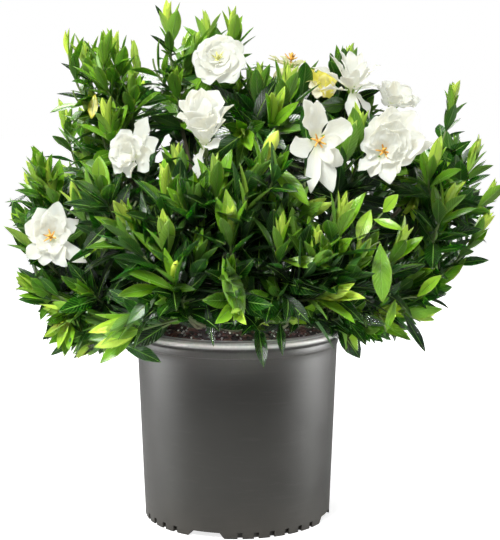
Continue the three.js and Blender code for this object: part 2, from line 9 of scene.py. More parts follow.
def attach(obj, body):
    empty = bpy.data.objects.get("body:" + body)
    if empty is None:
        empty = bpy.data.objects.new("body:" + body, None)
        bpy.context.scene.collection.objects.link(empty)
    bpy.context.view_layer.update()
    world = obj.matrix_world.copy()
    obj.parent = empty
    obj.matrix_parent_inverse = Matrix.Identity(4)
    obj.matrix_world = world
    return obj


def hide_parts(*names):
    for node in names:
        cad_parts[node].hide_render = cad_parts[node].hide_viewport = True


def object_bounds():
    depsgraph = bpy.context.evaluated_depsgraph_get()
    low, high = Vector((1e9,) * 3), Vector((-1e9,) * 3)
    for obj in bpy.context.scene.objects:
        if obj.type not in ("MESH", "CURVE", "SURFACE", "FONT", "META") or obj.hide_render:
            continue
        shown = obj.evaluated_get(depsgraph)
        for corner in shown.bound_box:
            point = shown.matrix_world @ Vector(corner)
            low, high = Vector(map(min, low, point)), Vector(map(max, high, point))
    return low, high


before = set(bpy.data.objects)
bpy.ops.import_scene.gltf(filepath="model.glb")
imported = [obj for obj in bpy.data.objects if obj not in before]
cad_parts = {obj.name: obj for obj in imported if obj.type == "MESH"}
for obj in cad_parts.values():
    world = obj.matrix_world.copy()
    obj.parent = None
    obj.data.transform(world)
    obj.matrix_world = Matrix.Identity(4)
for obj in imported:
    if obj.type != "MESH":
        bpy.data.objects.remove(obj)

cad_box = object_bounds()


# Pot
# One moulding in dark grey polypropylene with a double lip, a band under it and a wall that tapers to the
# foot. The foot stands on four arcs with small notches between the four wide drainage channels.
POT_LIP, LIP_TOP, POT_RIDGE = 115, 213, 216.5
BAND_LOW, BAND_TOP, WALL_TOP, FOOT = 197, 205, 113, 105.5
WALL, FLOOR, FOOT_RAISED = 2, 9.5, 0.6
QUARTERS, CHANNEL_AT, CHANNEL_HEIGHT, CHANNEL_FROM = 4, -18.5, 6.5, 55
CHANNEL_BOTTOM, CHANNEL_TOP = 43, 31.5
NOTCH_WIDTH, NOTCH_HEIGHT, NOTCH_DEPTH = 5.4, 7, 4
NOTCHES, NOTCH_PITCH, NOTCH_START = 6, 9.7, 20.5
HOLE_AT, HOLE_RADIUS = 78, 6
OUTSIDE = FOOT + 6
POT_STEPS, CORNER_RADIUS, SHARP_FROM = 160, 0.3, 38
PLASTIC, PLASTIC_PALE = (0.031, 0.0302, 0.0265), (0.045, 0.044, 0.039)
SCUFFED, DUSTY = (0.07, 0.069, 0.062), (0.08, 0.07, 0.056)
# Colours of the painted shade in the groove under the lip and of the painted highlights on the lip's edge and
# ridge
GROOVE_SHADE, PAINTED_HIGHLIGHT = (0.004, 0.004, 0.004), (0.80, 0.79, 0.76)


def plug(tree, socket, value):
    """Gives a socket its value, or joins it to an output."""
    if isinstance(value, bpy.types.NodeSocket):
        tree.links.new(value, socket)
    else:
        socket.default_value = value


def node(tree, kind, sockets=(), **settings):
    """A shader node with values or outputs plugged into its sockets."""
    made = tree.nodes.new("ShaderNode" + kind)
    for name, value in settings.items():
        setattr(made, name, value)
    for name, value in dict(sockets).items():
        plug(tree, made.inputs[name], value)
    return made


def mix(tree, share, first, second, blend="MIX"):
    """Two colours mixed by a share from 0 to 1."""
    first, second = [(*colour, 1) if isinstance(colour, tuple) else colour for colour in (first, second)]
    made = node(tree, "Mix", {0: share, 6: first, 7: second}, data_type="RGBA", blend_type=blend)
    return made.outputs[2]


def maths(tree, operation, *values, clamp=False):
    """One sum on numbers that vary over the surface."""
    return node(tree, "Math", dict(enumerate(values)), operation=operation, use_clamp=clamp).outputs[0]


def times(tree, value, factor):
    """A number that varies over the surface, made larger or smaller."""
    return maths(tree, "MULTIPLY", value, factor)


def ramp(tree, share, *stops):
    """Colours or numbers laid out along a share, each stop a place and what is there."""
    made = node(tree, "ValToRGB", {0: share})
    elements = made.color_ramp.elements
    while len(elements) < len(stops):
        elements.new(0.5)
    for element, (place, value) in zip(elements, stops):
        element.position = place
        element.color = (*value, 1) if isinstance(value, tuple) else (value, value, value, 1)
    return made.outputs[0]


def new_material(name):
    """A material with its tree, its Principled shader and the object's own coordinates."""
    material = bpy.data.materials.new(name)
    material.use_nodes = True
    tree = material.node_tree
    shader = tree.nodes["Principled BSDF"]
    return material, tree, shader, tree.nodes.new("ShaderNodeTexCoord").outputs["Object"]


def join(tree, shader, **sockets):
    """Gives the shader its colour, roughness and the like."""
    for name, value in sockets.items():
        plug(tree, shader.inputs[name.replace("_", " ")], value)


def relief_group():
    """Fine relief of a surface, a coarse and a fine one together, as a height and as a mottle."""
    group = bpy.data.node_groups.new("surface_relief", "ShaderNodeTree")
    for name, kind, value in (("Vector", "NodeSocketVector", None), ("Coarse", "NodeSocketFloat", 80),
                              ("Fine", "NodeSocketFloat", 900), ("Balance", "NodeSocketFloat", 0.5)):
        socket = group.interface.new_socket(name, in_out="INPUT", socket_type=kind)
        if value is not None:
            socket.default_value = value
    for name in ("Mottle", "Height"):
        group.interface.new_socket(name, in_out="OUTPUT", socket_type="NodeSocketFloat")
    given = group.nodes.new("NodeGroupInput").outputs
    place = given["Vector"]
    coarse, fine = [
        node(group, "TexNoise", {"Vector": place, "Scale": given[name], "Detail": detail}).outputs[0]
        for name, detail in (("Coarse", 5), ("Fine", 3))]
    both = node(group, "Mix", {0: given["Balance"], 2: coarse, 3: fine}).outputs[0]
    result = group.nodes.new("NodeGroupOutput").inputs
    group.links.new(coarse, result["Mottle"])
    group.links.new(both, result["Height"])
    return group


surface_relief = relief_group()


def relief(tree, place, coarse, fine, balance=0.5):
    """The mottle and the height of the shared relief at these scales."""
    made = tree.nodes.new("ShaderNodeGroup")
    made.node_tree = surface_relief
    tree.links.new(place, made.inputs["Vector"])
    for name, value in (("Coarse", coarse), ("Fine", fine), ("Balance", balance)):
        made.inputs[name].default_value = value
    return made.outputs["Mottle"], made.outputs["Height"]


def raise_by(tree, shader, height, depth, strength=1.0):
    """Relief on the surface, its depth in metres."""
    bump = node(tree, "Bump", {"Height": height, "Distance": depth, "Strength": strength})
    join(tree, shader, Normal=bump.outputs[0])


def object_of(name, bm, materials=()):
    """Makes the mesh an object in metres."""
    bmesh.ops.scale(bm, vec=(0.001, 0.001, 0.001), verts=bm.verts)
    mesh = bpy.data.meshes.new(name)
    bm.to_mesh(mesh)
    bm.free()
    for material in materials:
        mesh.materials.append(material)
    made = bpy.data.objects.new(name, mesh)
    bpy.context.scene.collection.objects.link(made)
    return made


def finish_piece(name, bm, materials, slot, *cad_nodes):
    """Makes the mesh a piece that rides on the part and stands for its CAD nodes."""
    piece = object_of(name, bm, materials)
    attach(piece, "root")
    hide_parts(*cad_nodes)
    return piece


def turn_profile(bm, points, steps, rounding=0.0):
    """Spins an outline of [radius, height] points round Z, with its corners rounded first."""
    corners = [bm.verts.new((radius, 0, height)) for radius, height in points]
    lines = [bm.edges.new(pair) for pair in zip(corners, corners[1:])]
    if rounding:
        bmesh.ops.bevel(bm, geom=corners[1:-1] + lines, offset=rounding, affect="VERTICES", segments=2,
                        profile=0.5, material=-1, clamp_overlap=True)
    bmesh.ops.spin(bm, geom=bm.verts[:] + bm.edges[:], cent=(0, 0, 0), axis=(0, 0, 1),
                   angle=math.tau, steps=steps, use_merge=True)
    bmesh.ops.remove_doubles(bm, verts=bm.verts, dist=0.001)
    bmesh.ops.recalc_face_normals(bm, faces=bm.faces)
    for face in bm.faces:
        face.smooth = True


def wall_at(height):
    """The pot's outer radius at a height up to its band."""
    return FOOT + (WALL_TOP - FOOT) * height / BAND_LOW


def bar_along_floor(bm, section, start, end, degrees):
    """A bar of this section from one radius to another, turned round the pot."""
    corners = [bm.verts.new((x, -start, z)) for x, z in section]
    face = bm.faces.new(corners)
    pulled = bmesh.ops.extrude_face_region(bm, geom=[face])["geom"]
    moved = [part for part in pulled if isinstance(part, bmesh.types.BMVert)]
    bmesh.ops.translate(bm, vec=(0, start - end, 0), verts=moved)
    bmesh.ops.rotate(bm, cent=(0, 0, 0), matrix=Matrix.Rotation(math.radians(degrees), 3, "Z"),
                     verts=corners + moved)


def cut_section(bottom, top, height):
    """The section of a cut that reaches up from just under the pot."""
    return [(-bottom / 2, -1), (bottom / 2, -1), (top / 2, height), (-top / 2, height)]


foot_profile = [(0, FOOT_RAISED), (FOOT - 2, FOOT_RAISED), (FOOT - 1.4, 0), (FOOT, 0)]
wall_profile = [(wall_at(height), height) for height in (7, 8, 30, 95, 190)]
band_profile = [(WALL_TOP, BAND_LOW), (POT_LIP - 0.9, BAND_LOW + 0.8), (POT_LIP - 0.8, BAND_TOP)]
groove_profile = [(POT_LIP - 1.6, 205.8), (POT_LIP - 0.9, 206.7), (POT_LIP - 0.8, 207.8)]
lip_profile = [(POT_LIP, 208.4), (POT_LIP, 210.6), (POT_LIP - 0.4, LIP_TOP - 1), (POT_LIP - 1.4, LIP_TOP),
               (POT_LIP - 2.6, LIP_TOP), (POT_LIP - 3.3, LIP_TOP - 0.8)]
ridge_profile = [(111.4, 213.6), (111.2, 215), (110.5, 216.1), (109.5, POT_RIDGE), (108.6, 216), (108.2, 215)]
inside_profile = [(108.3, 210), (wall_at(194) - WALL, 194), (wall_at(FLOOR) - WALL, FLOOR), (0, FLOOR)]
pot_shape = bmesh.new()
turn_profile(pot_shape, foot_profile + wall_profile + band_profile + groove_profile + lip_profile
             + ridge_profile + inside_profile, POT_STEPS, rounding=CORNER_RADIUS)

cutter_shape = bmesh.new()
channel = cut_section(CHANNEL_BOTTOM, CHANNEL_TOP, CHANNEL_HEIGHT)
notch = cut_section(NOTCH_WIDTH, NOTCH_WIDTH, NOTCH_HEIGHT)
for quarter in range(QUARTERS):
    at = CHANNEL_AT + 360 / QUARTERS * quarter
    bar_along_floor(cutter_shape, channel, CHANNEL_FROM, OUTSIDE, at)
    for number in range(NOTCHES):
        beside = at + NOTCH_START + NOTCH_PITCH * number
        bar_along_floor(cutter_shape, notch, FOOT - NOTCH_DEPTH, OUTSIDE, beside)
    hole = Matrix.Rotation(math.radians(at), 4, "Z") @ Matrix.Translation((0, -HOLE_AT, FLOOR))
    bmesh.ops.create_cone(cutter_shape, cap_ends=True, segments=24, radius1=HOLE_RADIUS,
                          radius2=HOLE_RADIUS, depth=2 * FLOOR, matrix=hole)
bmesh.ops.recalc_face_normals(cutter_shape, faces=cutter_shape.faces)

pot_plastic, tree, shader, place = new_material("pot_plastic")
mottle, height = relief(tree, place, 22, 1400, 0.75)
streaks = node(tree, "Mapping", {"Vector": place, "Scale": (30, 30, 260)}).outputs[0]
scuffs = node(tree, "TexNoise", {"Vector": streaks, "Scale": 1.0, "Detail": 6}).outputs[0]
scuffs = ramp(tree, scuffs, (0.56, 0), (0.72, 1))
height_above = node(tree, "SeparateXYZ", {0: place}).outputs[2]
low = maths(tree, "SUBTRACT", 1.0, times(tree, height_above, 22.0), clamp=True)
dust = maths(tree, "MULTIPLY", low, mottle, clamp=True)
# Painted shade darkens the groove under the lip, where the lip's overhang casts its shadow. The heights are
# in metres.
groove_shade = ramp(tree, height_above, (0.2055, 0), (0.2062, 1), (0.2082, 1), (0.2088, 0))
# Painted highlights lighten the lip's edge and the ridge in two pale lines, which are also made glossier.
lip_highlights = ramp(tree, height_above, (0.2105, 0), (0.2110, 1), (0.2128, 1), (0.2134, 0), (0.2155, 0),
              (0.2160, 1))
grey = mix(tree, mottle, PLASTIC, PLASTIC_PALE)
# The scuffs and the dust are the plastic's own marks. The groove's painted shade and the lip's painted
# highlights are mixed in with them.
for share, most, colour in ((scuffs, 0.22, SCUFFED), (dust, 0.55, DUSTY), (groove_shade, 0.8, GROOVE_SHADE),
                            (lip_highlights, 0.9, PAINTED_HIGHLIGHT)):
    grey = mix(tree, times(tree, share, most), grey, colour)
sheen = ramp(tree, maths(tree, "ADD", mottle, times(tree, scuffs, 0.3)), (0.3, 0.33), (0.9, 0.46))
dull = maths(tree, "ADD", sheen, times(tree, ramp(tree, height_above, (0.204, 0), (0.207, 1)), 0.2))
join(tree, shader, Base_Color=grey, Roughness=maths(tree, "SUBTRACT", dull, times(tree, lip_highlights, 0.35)))
raise_by(tree, shader, height, 0.00016)

pot = finish_piece("pot_moulding", pot_shape, [pot_plastic], "pot", "pot")
cutter = object_of("pot_cutter", cutter_shape)
cut = pot.modifiers.new("Drainage", "BOOLEAN")
cut.operation, cut.solver, cut.object, cut.use_self = "DIFFERENCE", "EXACT", cutter, True
bpy.context.view_layer.update()
pot.data = bpy.data.meshes.new_from_object(pot.evaluated_get(bpy.context.evaluated_depsgraph_get()))
pot.modifiers.clear()
bpy.data.objects.remove(cutter)
pot.data.set_sharp_from_angle(angle=math.radians(SHARP_FROM))


# Soil
# Bark potting mix, filled in up to a finger's breadth below the lip and settled in a low mound round the
# root crown. Its top is loose: chips of composted bark and white grains of perlite lie on it.
SOIL_LEVEL, SOIL_SETTLED, SOIL_RADIUS, SOIL_MOUND = 207, 2, 107.6, 4
SOIL_GAP, SOIL_RINGS, SOIL_STEPS, SOIL_WALL_TOP = 0.3, 26, 120, 190
# Lumps of the settled mix: how far apart, how high, and the seed of their noise
LUMPS = [(17, 2.4, 3), (5, 1.1, 8)]
CROWN_RADIUS = 21
CHIPS, CHIP_SMALLEST, CHIP_LARGEST = 620, (4, 3, 1.6), (13, 7, 4)
GRAINS, GRAIN_SMALLEST, GRAIN_LARGEST = 230, (1.6, 1.6, 1.4), (4, 3.4, 3)
DARK_MIX, BROWN_MIX, LIGHT_MIX = (0.006, 0.0045, 0.004), (0.022, 0.013, 0.010), (0.060, 0.034, 0.024)
CHIP_DARK, CHIP_RED = (0.020, 0.011, 0.010), (0.085, 0.034, 0.030)
CHIP_BROWN, CHIP_TAN = (0.19, 0.075, 0.060), (0.34, 0.20, 0.14)


def soil_top(x, y):
    """Height of the settled mix at a place in the pot."""
    share = math.hypot(x, y) / SOIL_RADIUS
    lumps = sum(noise.noise(Vector((x / apart, y / apart, seed))) * high for apart, high, seed in LUMPS)
    return SOIL_LEVEL - SOIL_SETTLED + SOIL_MOUND * (1 - share * share) + lumps * min(1, 4 * (1 - share))


soil_shape = bmesh.new()
soil_inside = [(0, FLOOR + SOIL_GAP), (wall_at(FLOOR) - WALL - SOIL_GAP, FLOOR + SOIL_GAP),
               (wall_at(SOIL_WALL_TOP) - WALL - SOIL_GAP, SOIL_WALL_TOP)]
rings = [(SOIL_RADIUS * (1 - n / SOIL_RINGS), SOIL_LEVEL) for n in range(SOIL_RINGS + 1)]
turn_profile(soil_shape, soil_inside + rings, SOIL_STEPS)
for vert in soil_shape.verts:
    if vert.co.z > SOIL_LEVEL - 1:
        vert.co.z = soil_top(vert.co.x, vert.co.y)

potting_mix, tree, shader, place = new_material("potting_mix")
mottle, height = relief(tree, place, 170, 900, 0.45)
brown = ramp(tree, mottle, (0.32, DARK_MIX), (0.55, BROWN_MIX), (0.75, LIGHT_MIX))
join(tree, shader, Base_Color=brown, Roughness=0.92)
raise_by(tree, shader, height, 0.003)
finish_piece("soil_bed", soil_shape, [potting_mix], "soil", "soil")


def scatter_lumps(seed, count, smallest, largest, sink):
    """Rough lumps lying on the soil, each with a tint of its own."""
    random = Random(seed)
    bm = bmesh.new()
    tint = bm.verts.layers.float.new("tint")
    while count:
        x, y = random.uniform(-SOIL_RADIUS, SOIL_RADIUS), random.uniform(-SOIL_RADIUS, SOIL_RADIUS)
        size = [random.uniform(low, high) for low, high in zip(smallest, largest)]
        if not CROWN_RADIUS < math.hypot(x, y) < SOIL_RADIUS - 0.45 * size[0]:
            continue
        count -= 1
        shade = random.random()
        tilt = Matrix.Rotation(random.uniform(-0.6, 0.6), 4, "X")
        tilt @= Matrix.Rotation(random.uniform(-0.5, 0.5), 4, "Y")
        lie = Matrix.Translation((x, y, soil_top(x, y) + sink * size[2]))
        lie @= Matrix.Rotation(random.uniform(0, math.tau), 4, "Z") @ tilt @ Matrix.Diagonal((*size, 2)) * 0.5
        lump = bmesh.ops.create_icosphere(bm, subdivisions=1, radius=1)["verts"]
        for vert in lump:
            vert.co *= random.uniform(0.68, 1.22)
            vert[tint] = shade
        bmesh.ops.transform(bm, matrix=lie, verts=lump)
    return bm


def tint_of(tree):
    """The tint that each leaf, chip or petal has of its own, from 0 to 1."""
    return node(tree, "Attribute", attribute_name="tint").outputs["Fac"]


bark_chip, tree, shader, place = new_material("bark_chip")
mottle, height = relief(tree, place, 240, 1500, 0.5)
brown = ramp(tree, tint_of(tree), (0.0, CHIP_DARK), (0.45, CHIP_RED), (0.8, CHIP_BROWN), (1.0, CHIP_TAN))
brown = mix(tree, mottle, mix(tree, 0.7, brown, (0.004, 0.003, 0.003)), brown)
join(tree, shader, Base_Color=brown, Roughness=0.8)
raise_by(tree, shader, height, 0.0012)
chips = scatter_lumps(5, CHIPS, CHIP_SMALLEST, CHIP_LARGEST, 0.3)
finish_piece("bark_chips", chips, [bark_chip], "soil", "soil")

perlite, tree, shader, place = new_material("perlite")
mottle, height = relief(tree, place, 500, 2500, 0.5)
join(tree, shader, Base_Color=mix(tree, mottle, (0.42, 0.40, 0.36), (0.88, 0.87, 0.84)), Roughness=0.85)
raise_by(tree, shader, height, 0.0006)
grains = scatter_lumps(9, GRAINS, GRAIN_SMALLEST, GRAIN_LARGEST, 0.7)
finish_piece("perlite_grains", grains, [perlite], "soil", "soil")


# Woody stems
# The shrub was grown from several cuttings: main stems rise from one root crown in the middle of the pot,
# and a limb forks off the nearest of them to every spray. Their bark is thin, brownish and finely ribbed.
UP = Vector((0, 0, 1))
CROWN_HEIGHTS, CROWN_SIDES = (178, 200, 207, 211, 214), 24
MAIN_STEMS, MAIN_RING, MAIN_SPREAD, MAIN_TOP = 5, 12, 52, 372
MAIN_SUNK, MAIN_KNEE_OUT, MAIN_KNEE_SHARE, MAIN_LOWER = 22, 8, 0.45, 12
MAIN_PIECES, LIMB_PIECES, LEADER_PIECES = 16, 12, 12
MAIN_BASE_RADIUS, MAIN_TOP_RADIUS, LIMB_RADIUS, LEADER_RADIUS, TIP_RADIUS = 5.6, 2.7, 2.3, 2.1, 1.0
LOW_FORK, FORK_BELOW, TOP_FORK_BELOW = 245, 70, 25
HEART = Vector((5, 0, 205))
LEADER_LENGTH, LEADER_START_OVER, LEADER_KNEE_OVER, TUFT = 125, 18, 24, 34
GREEN_WOOD, YOUNG_WOOD, TURNING_WOOD = (0.17, 0.30, 0.035), (0.10, 0.17, 0.030), (0.12, 0.11, 0.045)
BROWN_WOOD, OLD_WOOD = (0.14, 0.105, 0.07), (0.17, 0.14, 0.105)

# Where the foliage of each spray reaches, its leader first, how upright it grows, and what it carries. A
# spray with a low number for fresh has younger and shorter leaves.
SPRAYS = [
    dict(tips=[(-165, -30, 535), (-185, -40, 545), (-178, -60, 505)], lift=0.6, fresh=0.6),
    dict(tips=[(-130, -40, 540), (-112, -20, 532)], lift=0.8, fresh=0.65),
    dict(tips=[(-158, -40, 478), (-140, -80, 470)], lift=0.4, fresh=0.65),
    dict(tips=[(-75, -20, 575), (-92, -30, 540)], lift=0.75, fresh=0.6),
    dict(tips=[(-35, 25, 570), (-5, 0, 570)], lift=0.8, blooms=["bloom_top"], fresh=0.7),
    dict(tips=[(-200, 40, 470), (-170, 0, 458)], lift=0.7, fresh=0.75),
    dict(tips=[(-225, -40, 410), (-205, -70, 405)], lift=0.55, fresh=0.75),
    dict(tips=[(-262, -20, 360), (-240, -20, 395)], lift=0.2, blooms=["bloom_left"]),
    dict(tips=[(-240, -60, 285), (-235, -85, 335), (-226, -105, 288), (-206, -100, 254)], lift=0.1),
    dict(tips=[(-205, -110, 250), (-208, -80, 222), (-180, -100, 204), (-150, -60, 206)], lift=-0.1),
    dict(tips=[(-128, -155, 250), (-85, -185, 262)], lift=0.1),
    dict(tips=[(24, -50, 512), (52, -60, 505), (38, -100, 482), (8, -115, 468), (-8, -95, 440)], lift=0.8),
    dict(tips=[(28, -185, 440), (60, -170, 385)], lift=0.6, bud="large"),
    dict(tips=[(-20, -190, 415), (10, -200, 400)], lift=0.6, blooms=["bloom_cup"]),
    dict(tips=[(-5, -212, 370), (0, -222, 300)], lift=0.6),
    dict(tips=[(45, -212, 362), (90, -214, 310)], lift=0.6),
    dict(tips=[(-70, -205, 358), (-112, -205, 285)], lift=0.6),
    dict(tips=[(-65, -225, 328), (-112, -190, 262)], lift=0.3, bud="small"),
    dict(tips=[(-135, -140, 415), (-165, -120, 385)], lift=0.6, blooms=["bloom_leaning"]),
    dict(tips=[(-70, -180, 405), (-105, -175, 370), (-62, -105, 425)], lift=0.6),
    dict(tips=[(130, -115, 462), (142, -38, 412)], lift=0.7, blooms=["bloom_full"]),
    dict(tips=[(245, 20, 494), (222, -30, 425), (200, -40, 395)], lift=0.75, fresh=0.75),
    dict(tips=[(268, -20, 430), (280, -40, 390), (212, -90, 425)], lift=0.5, fresh=0.85),
    dict(tips=[(274, -60, 350), (230, -115, 385)], lift=0.3, fresh=0.8),
    dict(tips=[(250, -60, 292), (236, -75, 256)], lift=0.05),
    dict(tips=[(215, -100, 238), (205, -60, 212)], lift=-0.15),
    dict(tips=[(125, -200, 335), (168, -180, 345)], lift=0.35),
    dict(tips=[(160, -165, 275), (132, -145, 252)], lift=0.1),
    dict(tips=[(80, -215, 350), (105, -205, 375), (116, -135, 446)], lift=0.5, blooms=["bloom_star"]),
    dict(tips=[(28, -200, 268), (62, -205, 272)], lift=0.1),
    dict(tips=[(128, 40, 535), (205, 50, 490), (172, -10, 432)], lift=0.7,
         blooms=["bloom_high", "bloom_back"]),
    dict(tips=[(75, 0, 525)], lift=0.7, blooms=["bloom_fading", "bloom_spent"]),
    dict(tips=[(-60, 60, 540), (-110, 90, 500)], lift=0.7),
    dict(tips=[(-160, 130, 440), (-200, 100, 400)], lift=0.5),
    dict(tips=[(-225, 100, 330), (-190, 140, 280), (-150, 165, 340)], lift=0.2),
    dict(tips=[(-90, 200, 390), (-50, 170, 450), (-100, 190, 300)], lift=0.45),
    dict(tips=[(20, 220, 370), (60, 190, 430), (-5, 210, 290)], lift=0.45),
    dict(tips=[(80, 100, 500), (40, 130, 480)], lift=0.65),
    dict(tips=[(150, 180, 390), (190, 160, 330), (105, 205, 310)], lift=0.4),
    dict(tips=[(230, 100, 380), (215, 130, 270), (240, 50, 320), (195, 30, 300), (215, 0, 345)], lift=0.3),
    dict(tips=[(-60, 195, 240), (90, 200, 235)], lift=-0.05),
]

# The leaves that stand out from the rest, each with its foot, its tip, its width and how ripe it is. Each
# grows on a twig of its own from the nearest leader.
LONE_LEAVES = [
    ((-149, -40, 484), (-189, -42, 508), 7, 0.9), ((-149, -45, 468), (-193, -50, 475), 6, 0.95),
    ((-65, -25, 517), (-93, -30, 538), 6, 0.9), ((-46, -35, 484), (-90, -45, 500), 7, 0.9),
    ((-76, -20, 548), (-88, -25, 570), 5, 0.8), ((-158, -112, 303), (-121, -145, 344), 13, 0.25),
    ((-219, -60, 296), (-239, -70, 324), 8, 0.8), ((-228, -30, 366), (-250, -36, 352), 6, 0.9),
    ((-72, -190, 284), (-113, -212, 279), 14, 0.4), ((-74, -192, 279), (-106, -205, 249), 13, 0.55),
    ((-70, -195, 284), (-38, -212, 285), 10, 0.5), ((-12, -212, 316), (8, -228, 258), 20, 0.42),
    ((-29, -190, 271), (-21, -203, 227), 8, 0.95), ((45, -205, 312), (90, -222, 309), 13, 0.3),
    ((40, -200, 282), (72, -215, 253), 15, 0.75), ((92, -190, 312), (112, -208, 334), 14, 0.35),
    ((132, -188, 360), (118, -202, 330), 15, 0.22), ((144, -182, 356), (157, -195, 375), 13, 0.25),
    ((133, -192, 351), (161, -206, 342), 10, 0.28), ((140, -198, 329), (142, -212, 271), 20, 0.38),
    ((30, -192, 407), (72, -212, 365), 17, 0.34), ((184, -140, 267), (206, -158, 292), 12, 0.25),
    ((150, -172, 237), (157, -186, 271), 9, 0.3), ((233, -60, 292), (272, -64, 297), 11, 0.7),
    ((104, -126, 235), (128, -136, 203), 20, 0.95), ((176, -96, 244), (200, -104, 203), 10, 0.85),
    ((-121, -118, 216), (-77, -130, 198), 15, 0.7), ((-163, -78, 218), (-200, -84, 196), 10, 0.6),
    ((-143, -88, 212), (-174, -94, 195), 8, 0.8), ((22, -170, 246), (28, -200, 206), 13, 0.8),
    ((44, -180, 248), (46, -204, 219), 9, 0.8), ((252, -20, 338), (284, -24, 352), 8, 0.75),
    ((-137, -140, 380), (-136, -158, 410), 14, 0.25), ((-199, -96, 266), (-229, -99, 293), 10, 0.75),
    ((-194, -100, 258), (-226, -102, 274), 9, 0.65), ((-186, -99, 262), (-207, -103, 284), 10, 0.55),
    ((-180, -56, 284), (-226, -60, 296), 14, 0.8), ((-176, -58, 296), (-212, -62, 278), 13, 0.65),
]
YELLOW_LEAF = ((-150, -60, 474), (-153, -72, 447), 11, 0.5)


def bend_through(start, near_start, near_end, end, pieces):
    """Points along a smooth bend."""
    points = []
    for n in range(pieces + 1):
        t = n / pieces
        points.append(start * (1 - t) ** 3 + near_start * 3 * t * (1 - t) ** 2
                      + near_end * 3 * t * t * (1 - t) + end * t ** 3)
    return points


def arch_through(start, knee, end, pieces):
    """Points along a bend that leans towards its knee."""
    return bend_through(start, start.lerp(knee, 2 / 3), end.lerp(knee, 2 / 3), end, pieces)


def directions(points):
    """The direction of a line of points at each of them."""
    ends = [points[0], *points, points[-1]]
    return [(after - before).normalized() for before, after in zip(ends, ends[2:])]


def grow_stem(bm, points, radii, sides, layers, ages, material=0):
    """A round stem through the points, extruded ring by ring, with a radius and an age at each."""
    age_layer = layers[0]
    frames = [Matrix.Translation(point) @ direction.to_track_quat("Z", "Y").to_matrix().to_4x4()
              for point, direction in zip(points, directions(points))]
    ring = bmesh.ops.create_circle(bm, cap_ends=True, segments=sides, radius=1,
                                   matrix=frames[0] @ Matrix.Diagonal((radii[0], radii[0], 1, 1)))["verts"]
    edges = list({edge for vert in ring for edge in vert.link_edges})
    made = list(ring)
    for vert in ring:
        vert[age_layer] = ages[0]
    for before, now, radius_before, radius, age in zip(frames, frames[1:], radii, radii[1:], ages[1:]):
        pulled = bmesh.ops.extrude_edge_only(bm, edges=edges)["geom"]
        ring = [part for part in pulled if isinstance(part, bmesh.types.BMVert)]
        edges = [part for part in pulled if isinstance(part, bmesh.types.BMEdge)]
        grow = radius / radius_before
        step = now @ Matrix.Diagonal((grow, grow, 1, 1)) @ before.inverted()
        bmesh.ops.transform(bm, matrix=step, verts=ring)
        for vert in ring:
            vert[age_layer] = age
        made += ring
    bmesh.ops.contextual_create(bm, geom=edges)
    faces = list({face for vert in made for face in vert.link_faces})
    bmesh.ops.recalc_face_normals(bm, faces=faces)
    for face in faces:
        face.smooth = len(face.verts) == 4
        face.material_index = material


def fade(first, last, pieces):
    """Values from first to last, one for each point of a line of so many pieces."""
    return [first + (last - first) * n / pieces for n in range(pieces + 1)]


def main_stem(number):
    """The line of one main stem, from the root crown to its top."""
    angle = (number + 0.3) * math.tau / MAIN_STEMS
    outward = Vector((math.cos(angle), math.sin(angle), 0))
    foot = outward * MAIN_RING + UP * (SOIL_LEVEL - MAIN_SUNK)
    knee_height = SOIL_LEVEL + MAIN_KNEE_SHARE * (MAIN_TOP - SOIL_LEVEL)
    knee = outward * (MAIN_RING + MAIN_KNEE_OUT) + UP * knee_height
    top = outward * MAIN_SPREAD + UP * (MAIN_TOP - MAIN_LOWER * (number % 2))
    return arch_through(foot, knee, top, MAIN_PIECES)


def leaf_size(fresh):
    """How large the leaves of a spray are: those of a fresh one are shorter."""
    return 0.55 + 0.45 * fresh


def shoot_to(tip, spray):
    """Where the stem of a shoot ends, which way it grows there, and which way is outward."""
    lift = spray["lift"]
    outward = (Vector(tip) - HEART).normalized()
    aim = outward + UP * (1.6 * lift) if lift < 0 else outward.lerp(UP, lift + 0.3 * (1 - lift))
    aim.normalize()
    return Vector(tip) - aim * (TUFT * leaf_size(spray.get("fresh", 1))), aim, outward


def leader_of(spray):
    """The line of a spray's leader."""
    end, aim, outward = shoot_to(spray["tips"][0], spray)
    start = end - (aim * 0.45 + outward * 0.55).normalized() * LEADER_LENGTH
    start.z = max(start.z, POT_RIDGE + LEADER_START_OVER)
    knee = end - aim * (LEADER_LENGTH / 2)
    knee.z = max(knee.z, POT_RIDGE + LEADER_KNEE_OVER)
    return arch_through(start, knee, end, LEADER_PIECES)


main_stems = [main_stem(number) for number in range(MAIN_STEMS)]
leaders = [leader_of(spray) for spray in SPRAYS]


def limb_to(leader):
    """The line of the limb that carries a leader, from its fork on the nearest main stem."""
    start = leader[0]
    nearest = min(main_stems, key=lambda stem: (stem[-1].xy - start.xy).length)
    height = min(max(start.z - FORK_BELOW, LOW_FORK), MAIN_TOP - TOP_FORK_BELOW)
    fork = next((point for point in nearest if point.z >= height), nearest[-2])
    into = (leader[1] - start).normalized()
    over_rim = max(0, start.z - POT_RIDGE - 8) / max(into.z, 0.01)
    knee = start - into * min(0.4 * (start - fork).length, over_rim)
    return arch_through(fork, knee, start + into * 0.5, LIMB_PIECES)


def grown_mesh():
    """A new mesh whose corners each have an age and a tint."""
    bm = bmesh.new()
    return bm, [bm.verts.layers.float.new(name) for name in ("age", "tint")]


